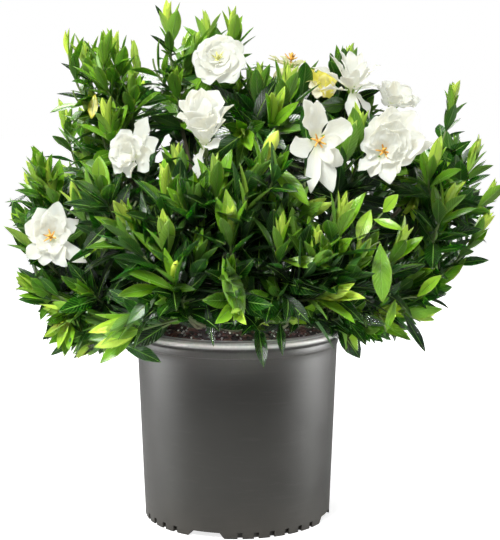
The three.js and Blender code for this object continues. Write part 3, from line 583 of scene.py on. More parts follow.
wood_shape, layers = grown_mesh()
crown_line = [UP * height for height in CROWN_HEIGHTS]
crown_radii = [CROWN_RADIUS, CROWN_RADIUS, CROWN_RADIUS - 3, CROWN_RADIUS - 8, 7]
grow_stem(wood_shape, crown_line, crown_radii, CROWN_SIDES, layers, [1] * 5)
for line in main_stems:
    tapered = fade(MAIN_BASE_RADIUS, MAIN_TOP_RADIUS, MAIN_PIECES)
    knotted = [radius * (1 + 0.09 * (n % 3 == 0)) for n, radius in enumerate(tapered)]
    knotted[-1] = 1.2
    grow_stem(wood_shape, line, knotted, 12, layers, fade(1, 0.8, MAIN_PIECES))
for leader in leaders:
    tapered = fade(LIMB_RADIUS, LEADER_RADIUS, LIMB_PIECES)
    grow_stem(wood_shape, limb_to(leader), tapered, 8, layers, fade(0.9, 0.62, LIMB_PIECES))

stem_bark, tree, shader, place = new_material("stem_bark")
along_grain = node(tree, "Mapping", {"Vector": place, "Scale": (900, 900, 110)}).outputs[0]
ribs = node(tree, "TexNoise", {"Vector": along_grain, "Scale": 1.0, "Detail": 4}).outputs[0]
mottle, height = relief(tree, place, 120, 1600, 0.5)
age = node(tree, "Attribute", attribute_name="age").outputs["Fac"]
bark = ramp(tree, age, (0.0, GREEN_WOOD), (0.35, YOUNG_WOOD), (0.6, TURNING_WOOD), (0.85, BROWN_WOOD),
            (1.0, OLD_WOOD))
bark = mix(tree, ribs, mix(tree, 0.62, bark, (0.02, 0.015, 0.01)), bark)
bark = mix(tree, times(tree, mottle, 0.35), bark, (0.22, 0.20, 0.16))
join(tree, shader, Base_Color=bark, Roughness=ramp(tree, age, (0.0, 0.45), (0.7, 0.85)))
raise_by(tree, shader, maths(tree, "ADD", ribs, height), 0.0007)
finish_piece("woody_stems_bark", wood_shape, [stem_bark], "bark", "woody_stems")


# Blooms, where they are
# Each bloom's middle, the way it faces, the reach that the leaves keep clear, and its petals, outer ones
# first. A petal has its place round the bloom, 0 at the bottom and 90 on the right as seen from the front,
# how far it has opened, and its length and width. They stand here because the leaves leave room for them.
BLOOMS = {
    "bloom_left": dict(at=(-193, -90, 323), face=(-0.15, -0.95, 0.28), reach=35, heart=True, petals=[
        (312, 80, 34, 18), (350, 78, 31, 19), (36, 76, 37, 21), (56, 84, 45, 16), (118, 66, 39, 17),
        (168, 70, 39, 23), (203, 68, 35, 24), (250, 70, 32, 21), (142, 50, 33, 20), (186, 48, 30, 21),
        (230, 52, 28, 21), (94, 52, 29, 18), (22, 62, 24, 19), (322, 60, 23, 18), (275, 60, 26, 17)]),
    "bloom_top": dict(at=(-20, -60, 508), face=(0.05, -0.9, 0.42), reach=31, heart=True, petals=[
        (182, 74, 29, 26), (225, 76, 27, 25), (268, 77, 27, 25), (312, 76, 31, 27), (350, 75, 34, 27),
        (30, 76, 35, 28), (74, 76, 33, 28), (118, 75, 32, 27), (148, 73, 29, 25), (200, 52, 24, 22),
        (252, 54, 23, 21), (316, 56, 26, 22), (14, 55, 26, 22), (72, 53, 26, 22), (134, 52, 25, 22),
        (180, 32, 18, 16), (250, 33, 18, 16), (320, 34, 19, 17), (32, 34, 19, 17), (106, 33, 19, 17)]),
    "bloom_cup": dict(at=(-31, -150, 424), face=(-0.08, -0.36, 0.93), reach=32, petals=[
        (180, 12, 54, 30), (148, 24, 54, 28), (214, 22, 53, 28), (116, 36, 48, 28), (248, 32, 48, 28),
        (84, 48, 36, 23), (20, 24, 40, 30), (332, 22, 43, 30), (300, 28, 42, 26), (56, 34, 37, 25),
        (332, 146, 35, 16), (44, 84, 24, 18), (160, 8, 46, 24), (250, 10, 43, 23), (80, 14, 39, 23),
        (10, 10, 36, 22)]),
    "bloom_leaning": dict(at=(-103, -130, 412), face=(-0.5, -0.84, 0.2), reach=33, petals=[
        (158, 76, 41, 17), (212, 70, 28, 22), (268, 66, 26, 23), (322, 72, 28, 23), (8, 78, 26, 21),
        (50, 84, 28, 16), (92, 80, 27, 20), (118, 84, 33, 18), (240, 46, 27, 24), (190, 44, 26, 23),
        (290, 48, 26, 23), (340, 50, 24, 22), (40, 46, 23, 21), (130, 44, 24, 22), (220, 24, 20, 15),
        (320, 26, 19, 15), (80, 26, 19, 15)]),
    "bloom_star": dict(at=(80, -165, 425), face=(0.18, -0.98, 0.08), reach=36, heart=True, petals=[
        (206, 72, 45, 21), (187, 64, 42, 18), (118, 76, 38, 23), (48, 74, 34, 17), (16, 80, 52, 19),
        (352, 76, 54, 14), (292, 82, 29, 21), (95, 58, 26, 14), (30, 60, 30, 13)]),
    "bloom_full": dict(at=(148, -150, 414), face=(-0.12, -0.96, 0.25), reach=36, heart=True, petals=[
        (194, 76, 37, 26), (164, 72, 46, 31), (138, 70, 50, 31), (110, 73, 43, 28), (82, 76, 33, 25),
        (218, 76, 31, 25), (256, 74, 25, 22), (308, 82, 32, 15), (336, 84, 28, 16), (8, 82, 35, 19),
        (38, 74, 28, 24), (98, 88, 48, 16), (152, 50, 41, 29), (186, 50, 32, 25), (122, 50, 38, 27),
        (90, 54, 29, 22), (220, 50, 24, 20), (40, 54, 22, 18), (168, 32, 32, 24), (132, 32, 33, 23),
        (100, 34, 26, 19)]),
    "bloom_high": dict(at=(125, -30, 480), face=(0.05, -0.3, 0.95), reach=30, petals=[
        (270, 96, 34, 18), (264, 66, 50, 16), (232, 44, 44, 14), (268, 38, 42, 13), (205, 30, 44, 14),
        (180, 24, 43, 14), (150, 30, 42, 13), (96, 40, 40, 14), (120, 56, 38, 14), (84, 78, 32, 14),
        (350, 128, 36, 15), (52, 128, 36, 12), (20, 66, 30, 15), (325, 54, 34, 14), (240, 22, 34, 13),
        (110, 22, 33, 13), (0, 26, 28, 13)]),
    "bloom_back": dict(at=(176, 25, 464), face=(0.3, -0.5, 0.8), reach=26, petals=[
        (0, 66, 31, 20), (60, 64, 31, 19), (120, 62, 32, 20), (180, 62, 31, 20), (240, 64, 29, 19),
        (300, 66, 29, 19), (30, 40, 26, 18), (100, 38, 27, 18), (170, 38, 27, 18), (250, 40, 25, 18),
        (310, 40, 24, 17)]),
    "bloom_fading": dict(at=(94, -12, 482), face=(0.1, -0.85, 0.5), reach=17, crumple=2.2, petals=[
        (20, 62, 19, 15), (335, 66, 21, 15), (65, 56, 18, 14), (290, 58, 20, 14), (120, 50, 20, 14),
        (180, 44, 22, 15), (240, 62, 24, 16), (215, 74, 26, 16), (30, 30, 15, 12), (310, 30, 15, 12),
        (170, 22, 16, 12)]),
    "bloom_spent": dict(at=(60, 18, 508), face=(0.1, -0.35, 0.92), reach=22, heart=True, petals=[
        (270, 92, 27, 8), (290, 108, 26, 8), (248, 74, 26, 8), (306, 124, 22, 7), (92, 78, 17, 7),
        (122, 98, 15, 7), (205, 66, 20, 8), (0, 104, 20, 8), (332, 116, 22, 8), (50, 108, 18, 7)]),
}
# How far a bloom's tube reaches back from its middle
TUBE = 12


# Leafy sprays
# Every shoot ends in a tuft of folded lime green spears. Further down the leaves stand in pairs or threes,
# wider open, longer, darker and glossier, with a pale midrib and sunken side veins.
LEAF_COLUMNS, LEAF_STATIONS, LEAF_THICK = 8, 8, 0.42
YOUNG_LENGTH, GROWN_LENGTH, SPEAR_SHORTER = 42, 65, 0.85
# Degrees that a leaf stands off its stem: the youngest, and how much more the oldest
CLOSED, OPENED = 4, 62
# How far below the tip a leaf has mostly aged, ripened to its full green, and opened
AGED, RIPENED, UNFOLDED = 30, 22, 27
# How much a grown leaf sinks, and how much its face turns to the sky
SINKING, SKYWARD = 0.12, 0.55
# Shares of the old leaves that are yellow and of all leaves that hang, and how far these may hang
YELLOWED, HANGING, HANG_BY = 0.004, 0.04, 22
# A leaf that has no room is made shorter and stands closer to its stem, up to this many times
TRIES, SHORTER, CLOSER = 5, 0.86, 0.82
# Whorls of leaves as pairs of how far below the tip they stand and how many leaves they have
SPEAR = 5
TUFT_WHORLS = [(SPEAR, 2), (8, 2), (14, 3), (22, 3)]
TWIG_WHORLS = TUFT_WHORLS + [(32, 2), (43, 2)]
SHOOT_WHORLS = TUFT_WHORLS + [(32, 3), (44, 3), (58, 3), (74, 2)]
LEADER_WHORLS = TUFT_WHORLS + [(32, 3), (44, 3), (58, 3), (74, 3), (92, 3), (110, 3)]
BLOOM_STALK_WHORLS = [(26, 3), (44, 3)]
WHORL_TURN = 1.2
# The lowest leaves make a skirt, which rises towards the front, hangs down past the pot on both sides, and
# opens in two gaps over the soil, each with its middle, half its width and its height
SKIRT, SKIRT_RISE, SKIRT_FRONT = 214, 0.17, -90
SIDE_FROM, SIDE_WIDTH, LEFT_HANG, RIGHT_HANG = 95, 40, 34, 18
SKIRT_GAPS = [(-62, 36, 13), (42, 22, 8)]
# Room in front of a bloom and behind it that the leaves leave free, and the share of its reach
BLOOM_BEHIND, BLOOM_AHEAD, BLOOM_ROOM = -14, 75, 0.93
POT_CLEAR, BOX_CLEAR, LOWEST_LEAF = 3, 2, 120
LEAF_TOPS = (0.58, 0.80, 0.10), (0.21, 0.46, 0.022), (0.008, 0.060, 0.003), (0.0008, 0.012, 0.0009)
LEAF_BACKS = (0.56, 0.76, 0.09), (0.21, 0.43, 0.04), (0.024, 0.10, 0.012), (0.008, 0.042, 0.006)
RIB_TOP, RIB_BACK, YELLOW = (0.26, 0.48, 0.08), (0.26, 0.44, 0.09), (0.60, 0.56, 0.03)


def blank_blade(name, columns, stations):
    """A closed ball opened out for a blade: x is the place across, y is over or under, z the station."""
    bm = bmesh.new()
    bmesh.ops.create_uvsphere(bm, u_segments=columns, v_segments=stations, radius=1)
    unwrapped = bm.loops.layers.uv.new("UVMap")
    for vert in bm.verts:
        x, y, z = vert.co
        width = math.hypot(x, y) or 1
        station = round(stations * (1 - math.acos(max(-1, min(1, z))) / math.pi))
        on_pole = station in (0, stations)
        vert.co = (0, 0, station) if on_pole else (x / width, y / width, station)
    for face in bm.faces:
        over = sum(vert.co.y for vert in face.verts) > 0
        face.material_index = 0 if over else 1
        face.smooth = True
        for loop in face.loops:
            loop[unwrapped].uv = (0.5 + 0.5 * loop.vert.co.x, station_share(loop.vert.co.z / stations))
    for edge in bm.edges:
        edge.smooth = not all(abs(vert.co.x) > 0.99 for vert in edge.verts)
    mesh = bpy.data.meshes.new(name)
    bm.to_mesh(mesh)
    bm.free()
    return mesh


def station_share(step):
    """Stations lie closer together towards both ends of a blade."""
    return 0.35 * step + 0.65 * (0.5 - 0.5 * math.cos(math.pi * step))


def draw_blade(bm, blank, stations, layers, root, along, face, length, width, outline, thick, bend=0.0,
               curl=0.0, fold=0.0, cup=0.0, wave=0.0, waves=2.0, phase=0.0, twist=0.0, ragged=0.0, age=0.0,
               tint=0.5):
    """A leaf or petal. It bends back by bend and curl radians, and its halves rise by fold and cup."""
    known = len(bm.verts)
    bm.from_mesh(blank)
    bm.verts.ensure_lookup_table()
    side = face.cross(along)
    rows, centre, before = [], root.copy(), 0.0
    for step in range(stations + 1):
        share = station_share(step / stations)
        angle = bend * share + curl * share ** 3
        tangent = along * math.cos(angle) - face * math.sin(angle)
        normal = face * math.cos(angle) + along * math.sin(angle)
        centre = centre + tangent * (length * (share - before))
        before = share
        turn = twist * share
        half = 0.5 * width * outline(share) * (1 + ragged * math.sin(17 * share + 3 * phase))
        rows.append((centre, side * math.cos(turn) + normal * math.sin(turn),
                     normal * math.cos(turn) - side * math.sin(turn), half, share))
    age_layer, tint_layer = layers
    for vert in bm.verts[known:]:
        place_across, over, step = vert.co
        centre, sideways, normal, half, share = rows[round(step)]
        aside = abs(place_across)
        rise = fold * half * aside + cup * half * aside * aside
        rise += wave * half * aside * aside * math.sin(math.tau * waves * share + phase + place_across)
        rise += thick * over * (0.5 if over > 0 else 0.5 + 0.4 * (1 - share))
        vert.co = centre + sideways * (place_across * half) + normal * rise
        vert[age_layer] = age
        vert[tint_layer] = tint


def lance(share):
    """Width of a leaf along its length, from the stalk to the drawn-out tip."""
    return max(0.07, math.sin(math.pi * share ** 1.1) ** 0.95)


leaf_blank = blank_blade("leaf_blank", LEAF_COLUMNS, LEAF_STATIONS)


def basis(direction):
    """Two unit vectors across a direction."""
    first = direction.orthogonal().normalized()
    return first, direction.cross(first)


def outward_at(across, turn):
    """The direction at this turn round a stem, given the two vectors across it."""
    first, second = across
    return first * math.cos(turn) + second * math.sin(turn)


def leaned(axis, outward, angle):
    """The direction of a blade that leans out from its axis by an angle, and the way its face looks."""
    return (axis * math.cos(angle) + outward * math.sin(angle),
            axis * math.sin(angle) - outward * math.cos(angle))


# The bush seen from the front, as corners of its outline in millimetres across and up
OUTLINE = [(-198, 188), (-206, 225), (-216, 254), (-238, 264), (-243, 325), (-252, 345), (-250, 364),
           (-226, 408), (-203, 442), (-206, 472), (-192, 470), (-172, 462), (-168, 484), (-180, 508),
           (-184, 552), (-150, 540), (-132, 550), (-112, 540), (-104, 502), (-86, 490), (-86, 545),
           (-80, 580), (-30, 572), (0, 574), (20, 548), (36, 520), (85, 512), (112, 535), (132, 540),
           (152, 500), (172, 452), (200, 432), (228, 430), (240, 502), (252, 496), (258, 440), (276, 422),
           (286, 383), (282, 345), (268, 318), (260, 300), (238, 292), (234, 262), (232, 246), (206, 236),
           (192, 224), (186, 204), (182, 188)]


def inside_outline(x, z):
    """Whether a point lies in the outline, counted by how often a level line from it crosses an edge."""
    inside = False
    for (x1, z1), (x2, z2) in zip(OUTLINE, OUTLINE[1:] + OUTLINE[:1]):
        if (z1 > z) != (z2 > z) and x < x1 + (z - z1) * (x2 - x1) / (z2 - z1):
            inside = not inside
    return inside


def lowest_at(x, y):
    """How low the leaves come: they clear the lip of the pot in front and hang further down beside it."""
    beside = min(1, max(0, (abs(x) - SIDE_FROM) / SIDE_WIDTH))
    hang = LEFT_HANG if x < 0 else RIGHT_HANG
    gaps = sum(height * max(0, 1 - abs(x - middle) / half) for middle, half, height in SKIRT_GAPS)
    return SKIRT + SKIRT_RISE * max(0, -y) - hang * beside + gaps * (y < SKIRT_FRONT)


LIMITS = [[1000 * value + inwards for value in corner]
          for corner, inwards in zip(cad_box, (BOX_CLEAR, -BOX_CLEAR))]
LIMITS[0][2] = LOWEST_LEAF


def room_for(points, droop=0):
    """Whether a leaf through these points is clear of the blooms and the pot, and in the plant's outline."""
    for point in points:
        for low, high, value in zip(*LIMITS, point):
            if not low < value < high:
                return False
        if point.z < lowest_at(point.x, point.y) - droop or not inside_outline(point.x, point.z + droop):
            return False
        if point.z < POT_RIDGE + POT_CLEAR and math.hypot(point.x, point.y) < POT_LIP + POT_CLEAR:
            return False
        for bloom in BLOOMS.values():
            offset = point - Vector(bloom["at"])
            face = Vector(bloom["face"]).normalized()
            ahead = offset.dot(face)
            beside = (offset - face * ahead).length
            if BLOOM_BEHIND < ahead < BLOOM_AHEAD and beside < BLOOM_ROOM * bloom["reach"]:
                return False
    return True


def point_along(points, distance_from_end):
    """The point this far from the end of a line, and the direction there."""
    for after, before in zip(points[::-1], points[-2::-1]):
        step = (after - before).length
        if distance_from_end <= step:
            return after.lerp(before, distance_from_end / step), (after - before).normalized()
        distance_from_end -= step
    return points[0], (points[1] - points[0]).normalized()


def leaf_at(bm, layers, root, tangent, turn, below, random, colouring, made):
    """One leaf this far below the tip of its shoot, drawn and counted where there is room for it."""
    age = 1 - math.exp(-below / AGED)
    youngest, fresh = colouring
    ripeness = (youngest + (1 - youngest) * (1 - math.exp((SPEAR - below) / RIPENED))) * fresh
    radial = outward_at(basis(tangent), turn)
    opened = 1 - math.exp(-(below / UNFOLDED) ** 1.6)
    opening = math.radians(CLOSED + OPENED * opened) * random.uniform(0.8, 1.2)
    length = YOUNG_LENGTH + (GROWN_LENGTH - YOUNG_LENGTH) * age
    length = length * leaf_size(fresh) * random.uniform(0.78, 1.12)
    if below == SPEAR:
        length *= SPEAR_SHORTER
    droop = HANG_BY if random.random() < HANGING else 0
    for attempt in range(TRIES):
        along, face = leaned(tangent, radial, opening)
        along = (along - UP * (SINKING * age)).normalized()
        if room_for([root + along * (length * share) for share in (0.55, 0.8, 1.0)], droop):
            break
        length *= SHORTER
        opening *= CLOSER
    else:
        return
    made.append(root)
    face += UP * (SKYWARD * age)
    face -= along * face.dot(along)
    face.normalize()
    face.rotate(Matrix.Rotation(random.uniform(-0.45, 0.45) * (0.3 + age), 3, along))
    broad = (0.25 + 0.07 * age) * random.uniform(0.86, 1.14)
    draw_blade(bm, leaf_blank, LEAF_STATIONS, layers, root, along, face, length, length * broad, lance,
               LEAF_THICK, bend=random.uniform(-0.1, 0.55) * age - 0.12 * (1 - age),
               curl=random.uniform(-0.1, 0.5) * age, fold=0.7 - 0.52 * age, cup=-0.15 * age,
               wave=0.16 * age * random.random(), waves=random.uniform(1.2, 2.4),
               phase=random.uniform(0, math.tau), twist=random.uniform(-0.35, 0.35),
               age=ripeness * random.uniform(0.85, 1.1),
               tint=1 if age > 0.7 and random.random() < YELLOWED else 0.95 * random.random())


def leaf_shoot(bm, layers, line, whorls, radius, sides, random, ages, colouring, fewest=0):
    """A green stem with its whorls of leaves. It is left out where fewer leaves than this find room."""
    pieces, made = len(line) - 1, []
    length = sum((after - before).length for before, after in zip(line, line[1:]))
    start = random.uniform(0, math.tau)
    for number, (below, count) in enumerate(whorls):
        if below > length - 4:
            break
        root, tangent = point_along(line, below)
        for leaf in range(count):
            turn = start + number * WHORL_TURN + leaf * math.tau / count + random.uniform(-0.3, 0.3)
            leaf_at(bm, layers, root, tangent, turn, below, random, colouring, made)
    if len(made) >= fewest:
        grow_stem(bm, line, fade(radius, TIP_RADIUS, pieces), sides, layers, fade(*ages, pieces), material=2)


def let_light_in(tree, shader, weight, depth, reach):
    """Light that goes into a leaf or petal and comes out again, its depth in metres."""
    join(tree, shader, Subsurface_Weight=weight, Subsurface_Scale=depth, Subsurface_Radius=reach)


def leaf_finish(name, by_age, rib, gloss, vein_depth):
    """Colour by age, a pale midrib, side veins that run forward to the margin, and their relief."""
    material, tree, shader, place = new_material(name)
    age = node(tree, "Attribute", attribute_name="age").outputs["Fac"]
    across_along = node(tree, "SeparateXYZ", {0: tree.nodes.new("ShaderNodeUVMap").outputs[0]})
    aside = maths(tree, "ABSOLUTE", maths(tree, "SUBTRACT", across_along.outputs[0], 0.5))
    colour = ramp(tree, age, *zip((0.05, 0.30, 0.56, 0.82), by_age))
    mottle, height = relief(tree, place, 90, 1500, 0.5)
    tinted = mix(tree, tint_of(tree), (0.55, 0.66, 0.5), (1.3, 1.25, 1.15))
    colour = mix(tree, 1.0, colour, tinted, "MULTIPLY")
    yellowed = ramp(tree, tint_of(tree), (0.97, 0), (1.0, 1))
    colour = mix(tree, yellowed, colour, YELLOW)
    colour = mix(tree, times(tree, mottle, 0.5), colour,
                 mix(tree, 1.0, colour, (0.55, 0.62, 0.6), "MULTIPLY"))
    slant = maths(tree, "SUBTRACT", across_along.outputs[1], times(tree, aside, 0.42))
    veins = maths(tree, "SINE", times(tree, slant, 75.0))
    veins = ramp(tree, maths(tree, "ADD", times(tree, veins, 0.5), 0.5), (0.82, 0), (1.0, 1))
    midrib = ramp(tree, aside, (0.012, 1), (0.05, 0))
    for lines, paler, most in ((veins, -0.25, 0.3), (midrib, -0.3, 0.8)):
        fading = maths(tree, "MULTIPLY_ADD", age, paler, most)
        colour = mix(tree, times(tree, lines, fading), colour, rib)
    rough = ramp(tree, maths(tree, "ADD", mottle, times(tree, age, -0.15)), (0.2, gloss), (0.8, gloss + 0.2))
    join(tree, shader, Base_Color=colour, Roughness=rough, Specular_IOR_Level=0.6)
    lines = maths(tree, "MAXIMUM", midrib, times(tree, veins, 0.6))
    fine = maths(tree, "SUBTRACT", times(tree, height, 0.4), lines)
    raise_by(tree, shader, fine, vein_depth)
    let_light_in(tree, shader, 0.2, 0.004, (0.5, 1.0, 0.1))
    return material


leaf_gloss = leaf_finish("leaf_gloss", LEAF_TOPS, RIB_TOP, 0.14, 0.0008)
leaf_matt = leaf_finish("leaf_underside", LEAF_BACKS, RIB_BACK, 0.42, -0.0008)

bud_roll, tree, shader, place = new_material("rolled_bud")
mottle, height = relief(tree, place, 150, 1500, 0.5)
join(tree, shader, Base_Color=mix(tree, mottle, (0.40, 0.54, 0.03), (0.62, 0.70, 0.09)), Roughness=0.42)
raise_by(tree, shader, height, 0.0004)
# A bud's outline as pairs of a share of its length and half its width there, also as a share of its length
BUD_OUTLINE = [(0, 0.07), (0.08, 0.10), (0.2, 0.12), (0.35, 0.15), (0.5, 0.17), (0.65, 0.165), (0.78, 0.135),
               (0.88, 0.09), (0.95, 0.05), (1, 0.012)]
BUD_SIDES, BUD_TWIST, BUD_WAIST = 24, 3.2, 0.88
FURROW, FURROW_WAVES = 0.17, 2.5
# The lobes round a bud, their lengths as shares of its own
LOBES, LOBE_SPREAD, LOBE_OUT, LOBE_LENGTH, LOBE_WIDTH = 6, 0.22, 0.06, 0.42, 0.08
CUP_HEIGHTS, CUP_RADII = (-3, 0, 3, 6), (2.0, 2.9, 3.3, 2.9)
SEPALS, SEPAL_SHORT, SEPAL_LONG, SEPAL_WIDTH = 6, 11, 16, 2.8


def leaf_drawn(bm, layers, root, along, face, length, width, outline=lance, thick=0.6, **shape):
    """A leaf, sepal or other narrow blade."""
    draw_blade(bm, leaf_blank, LEAF_STATIONS, layers, root, along, face, length, width, outline, thick,
               **shape)


def lobe_off(axis, outward, spread):
    """The direction of a lobe that stands off its axis by a spread, and the way its face looks."""
    along = (axis + outward * spread).normalized()
    return along, (axis * along.dot(outward) - outward * along.dot(axis)).normalized()


def bud_of(bm, layers, tip, axis, length):
    """A flower bud: petals rolled round each other into a pointed spiral, in a calyx with narrow lobes."""
    base = tip - axis * length
    line = [base + axis * (length * share) for share, half in BUD_OUTLINE]
    known = len(bm.verts)
    grow_stem(bm, line, [length * half for share, half in BUD_OUTLINE], BUD_SIDES, layers, [0] * len(line), 3)
    bm.verts.ensure_lookup_table()
    first, second = basis(axis)
    for vert in bm.verts[known:]:
        offset = vert.co - base
        along = offset.dot(axis)
        radial = offset - axis * along
        turn = math.atan2(radial.dot(second), radial.dot(first)) - BUD_TWIST * along / length
        furrow = FURROW * abs(math.sin(FURROW_WAVES * turn)) * min(1, 3 * along / length)
        vert.co = base + axis * along + radial * (BUD_WAIST + furrow)
    for lobe in range(LOBES):
        radial = outward_at((first, second), lobe * math.tau / LOBES)
        along, face = lobe_off(axis, radial, LOBE_SPREAD)
        leaf_drawn(bm, layers, base + radial * (LOBE_OUT * length), along, face, LOBE_LENGTH * length,
                   LOBE_WIDTH * length, bend=-0.2, fold=0.4, age=0.15)


def calyx_of(bm, layers, bloom, random):
    """The green cup under a bloom, with the narrow sepals that stand off its tube."""
    axis = Vector(bloom["face"]).normalized()
    base = Vector(bloom["at"]) - axis * TUBE
    line = [base + axis * height for height in CUP_HEIGHTS]
    grow_stem(bm, line, CUP_RADII, 12, layers, [0.1] * 4, 2)
    for sepal in range(SEPALS):
        radial = outward_at(basis(axis), sepal * math.tau / SEPALS)
        along, face = lobe_off(axis, radial, random.uniform(0.35, 0.7))
        leaf_drawn(bm, layers, base + axis * 4 + radial * 2.4, along, face,
                   random.uniform(SEPAL_SHORT, SEPAL_LONG), SEPAL_WIDTH, bend=random.uniform(-0.2, 0.4),
                   fold=0.4, age=0.2)


BUD_LENGTHS, BUD_LEAN = {"large": 37, "small": 22}, Vector((0.45, -0.1, 0))
# Side shoots and stalks leave the leader one after another, at shares of its length
SHOOT_FROM, SHOOT_STEP, SHOOT_LAST, SHOOT_KNEE, SHOOT_RADIUS, SHOOT_PIECES = 0.38, 0.22, 0.7, 0.45, 1.5, 9
# Joints of the leader, counted from its foot, at which a twig stands. A spray at the front has only the first
# few of them.
TWIG_JOINTS, FRONT_TWIGS, FRONT_FROM = (3, 6, 8, 1, 4), 3, -90
TWIG_TURN, TWIG_SHORTEST, TWIG_LONGEST, TWIG_RADIUS, TWIG_PIECES, TWIG_LEAVES = 2.4, 38, 58, 1.2, 6, 4
# How woody each kind of stem is at its foot and at its tip
LEADER_AGES, SHOOT_AGES, TWIG_AGES, LONE_AGES = (0.6, 0.1), (0.4, 0.1), (0.35, 0.05), (0.35, 0.15)
SPRAY_MATERIALS = [leaf_gloss, leaf_matt, stem_bark, bud_roll]


def nearest_leader(place):
    """The leader that comes closest to a place."""
    return min(leaders, key=lambda leader: min((point - Vector(place)).length for point in leader[2:]))


def lone_leaf(bm, layers, leader, foot, tip, width, ripe, tint):
    """A leaf that stands out from the rest, on a twig from the leader that bends up to its foot."""
    foot = Vector(foot)
    start = min(leader[2:], key=lambda point: (point - foot).length)
    knee = start.lerp(foot, 0.55) + UP * (0.2 * (foot - start).length)
    line = arch_through(start, knee, foot, TWIG_PIECES)
    grow_stem(bm, line, fade(TWIG_RADIUS, 0.8, TWIG_PIECES), 5, layers, fade(*LONE_AGES, TWIG_PIECES), 2)
    reach = Vector(tip) - foot
    along = reach.normalized()
    face = UP * 0.6 - Vector((0, 1, 0))
    face = (face - along * face.dot(along)).normalized()
    leaf_drawn(bm, layers, foot, along, face, reach.length, width, thick=LEAF_THICK, bend=-0.15, curl=0.4,
               fold=0.35, cup=-0.1, wave=0.1, phase=foot.x, age=ripe, tint=tint)


def spray_of(number, spray, leader):
    """The leader of a spray with its side shoots, twigs, leaves and the stalks of its blooms."""
    random = Random(1000 + number)
    bm, layers = grown_mesh()
    whorls = LEADER_WHORLS[2:] if "bud" in spray else LEADER_WHORLS
    fresh = spray.get("fresh", 1)
    leaf_shoot(bm, layers, leader, whorls, LEADER_RADIUS, 6, random, LEADER_AGES, (0, fresh))
    ends = [shoot_to(tip, spray)[:2] + (SHOOT_WHORLS,) for tip in spray["tips"][1:]]
    for name in spray.get("blooms", ()):
        aim = Vector(BLOOMS[name]["face"]).normalized()
        ends.append((Vector(BLOOMS[name]["at"]) - aim * TUBE, aim, BLOOM_STALK_WHORLS))
    for side, (end, aim, whorls) in enumerate(ends):
        share = min(SHOOT_FROM + SHOOT_STEP * side, SHOOT_LAST)
        start = leader[round(share * (len(leader) - 1))]
        knee = end - aim * (SHOOT_KNEE * (end - start).length)
        knee.z = max(knee.z, min(start.z, end.z) + 4)
        line = arch_through(start, knee, end, SHOOT_PIECES)
        leaf_shoot(bm, layers, line, whorls, SHOOT_RADIUS, 5, random, SHOOT_AGES, (0, fresh))
    for name in spray.get("blooms", ()):
        calyx_of(bm, layers, BLOOMS[name], random)
    for leaf in LONE_LEAVES + [YELLOW_LEAF]:
        if nearest_leader(leaf[0]) is leader:
            lone_leaf(bm, layers, leader, *leaf, tint=1 if leaf is YELLOW_LEAF else 0.7)
    if "bud" in spray:
        length = BUD_LENGTHS[spray["bud"]]
        aim = ((leader[-1] - leader[-2]).normalized() + BUD_LEAN).normalized()
        bud_of(bm, layers, leader[-1] + aim * (length - 3), aim, length)
    for twig, joint in enumerate(TWIG_JOINTS if leader[-1].y > FRONT_FROM else TWIG_JOINTS[:FRONT_TWIGS]):
        start = leader[joint]
        heading = (leader[-1] - leader[0]).normalized()
        aside = outward_at(basis(heading), twig * TWIG_TURN + number)
        aim = (heading * 0.7 + aside * 0.75 + UP * 0.35 * (spray["lift"] > 0)).normalized()
        end = start + aim * random.uniform(TWIG_SHORTEST, TWIG_LONGEST)
        if room_for([end, end + aim * TUFT]):
            line = arch_through(start, start.lerp(end, 0.5) + aside * 6, end, TWIG_PIECES)
            leaf_shoot(bm, layers, line, TWIG_WHORLS, TWIG_RADIUS, 5, random, TWIG_AGES, (0.35, fresh),
                       fewest=TWIG_LEAVES)
    return bm


for number, (spray, leader) in enumerate(zip(SPRAYS, leaders)):
    name = f"spray_{number + 1:02d}"
    finish_piece(name + "_foliage", spray_of(number, spray, leader), SPRAY_MATERIALS, "leaf", name)


# Blooms
# A white corolla: a narrow tube that opens into whorls of thick, waxy petals, rolled so that each slips under
# the next. The outer ones lie back, the inner ones stand and cup round the throat. Old blooms turn yellow.
PETAL_COLUMNS, PETAL_STATIONS, PETAL_THICK = 16, 12, 0.7
THROAT_HEIGHTS, THROAT_RADII = (-TUBE, -8, -4, -1, 2), (2.3, 2.4, 2.8, 3.8, 5.6)
# A curled petal looks smaller than it is, so it is made a little larger. One that lies back has another curl.
LONGER, WIDER, LIES_BACK = 1.04, 1.06, 100
# A narrow petal is pointed, and so is a share of the others
NARROW, POINTED = 0.47, 0.2
# How strongly a petal glows in its own colour: painted light that stands in for the light it passes on from
# behind and from its neighbours
PAINTED_PETAL_GLOW, PETAL_ROUGH = 0.9, 0.5


def spoon(share):
    """Width of a petal along its length: a narrow claw and a broad, rounded end."""
    return max(0.1, math.sin(math.pi * share ** 1.5) ** 0.8)


petal_blank = blank_blade("petal_blank", PETAL_COLUMNS, PETAL_STATIONS)


def pointed(share):
    """Width of a narrower petal, widest before its middle and drawn out to a point."""
    return max(0.1, math.sin(math.pi * share ** 1.25) ** 0.85)


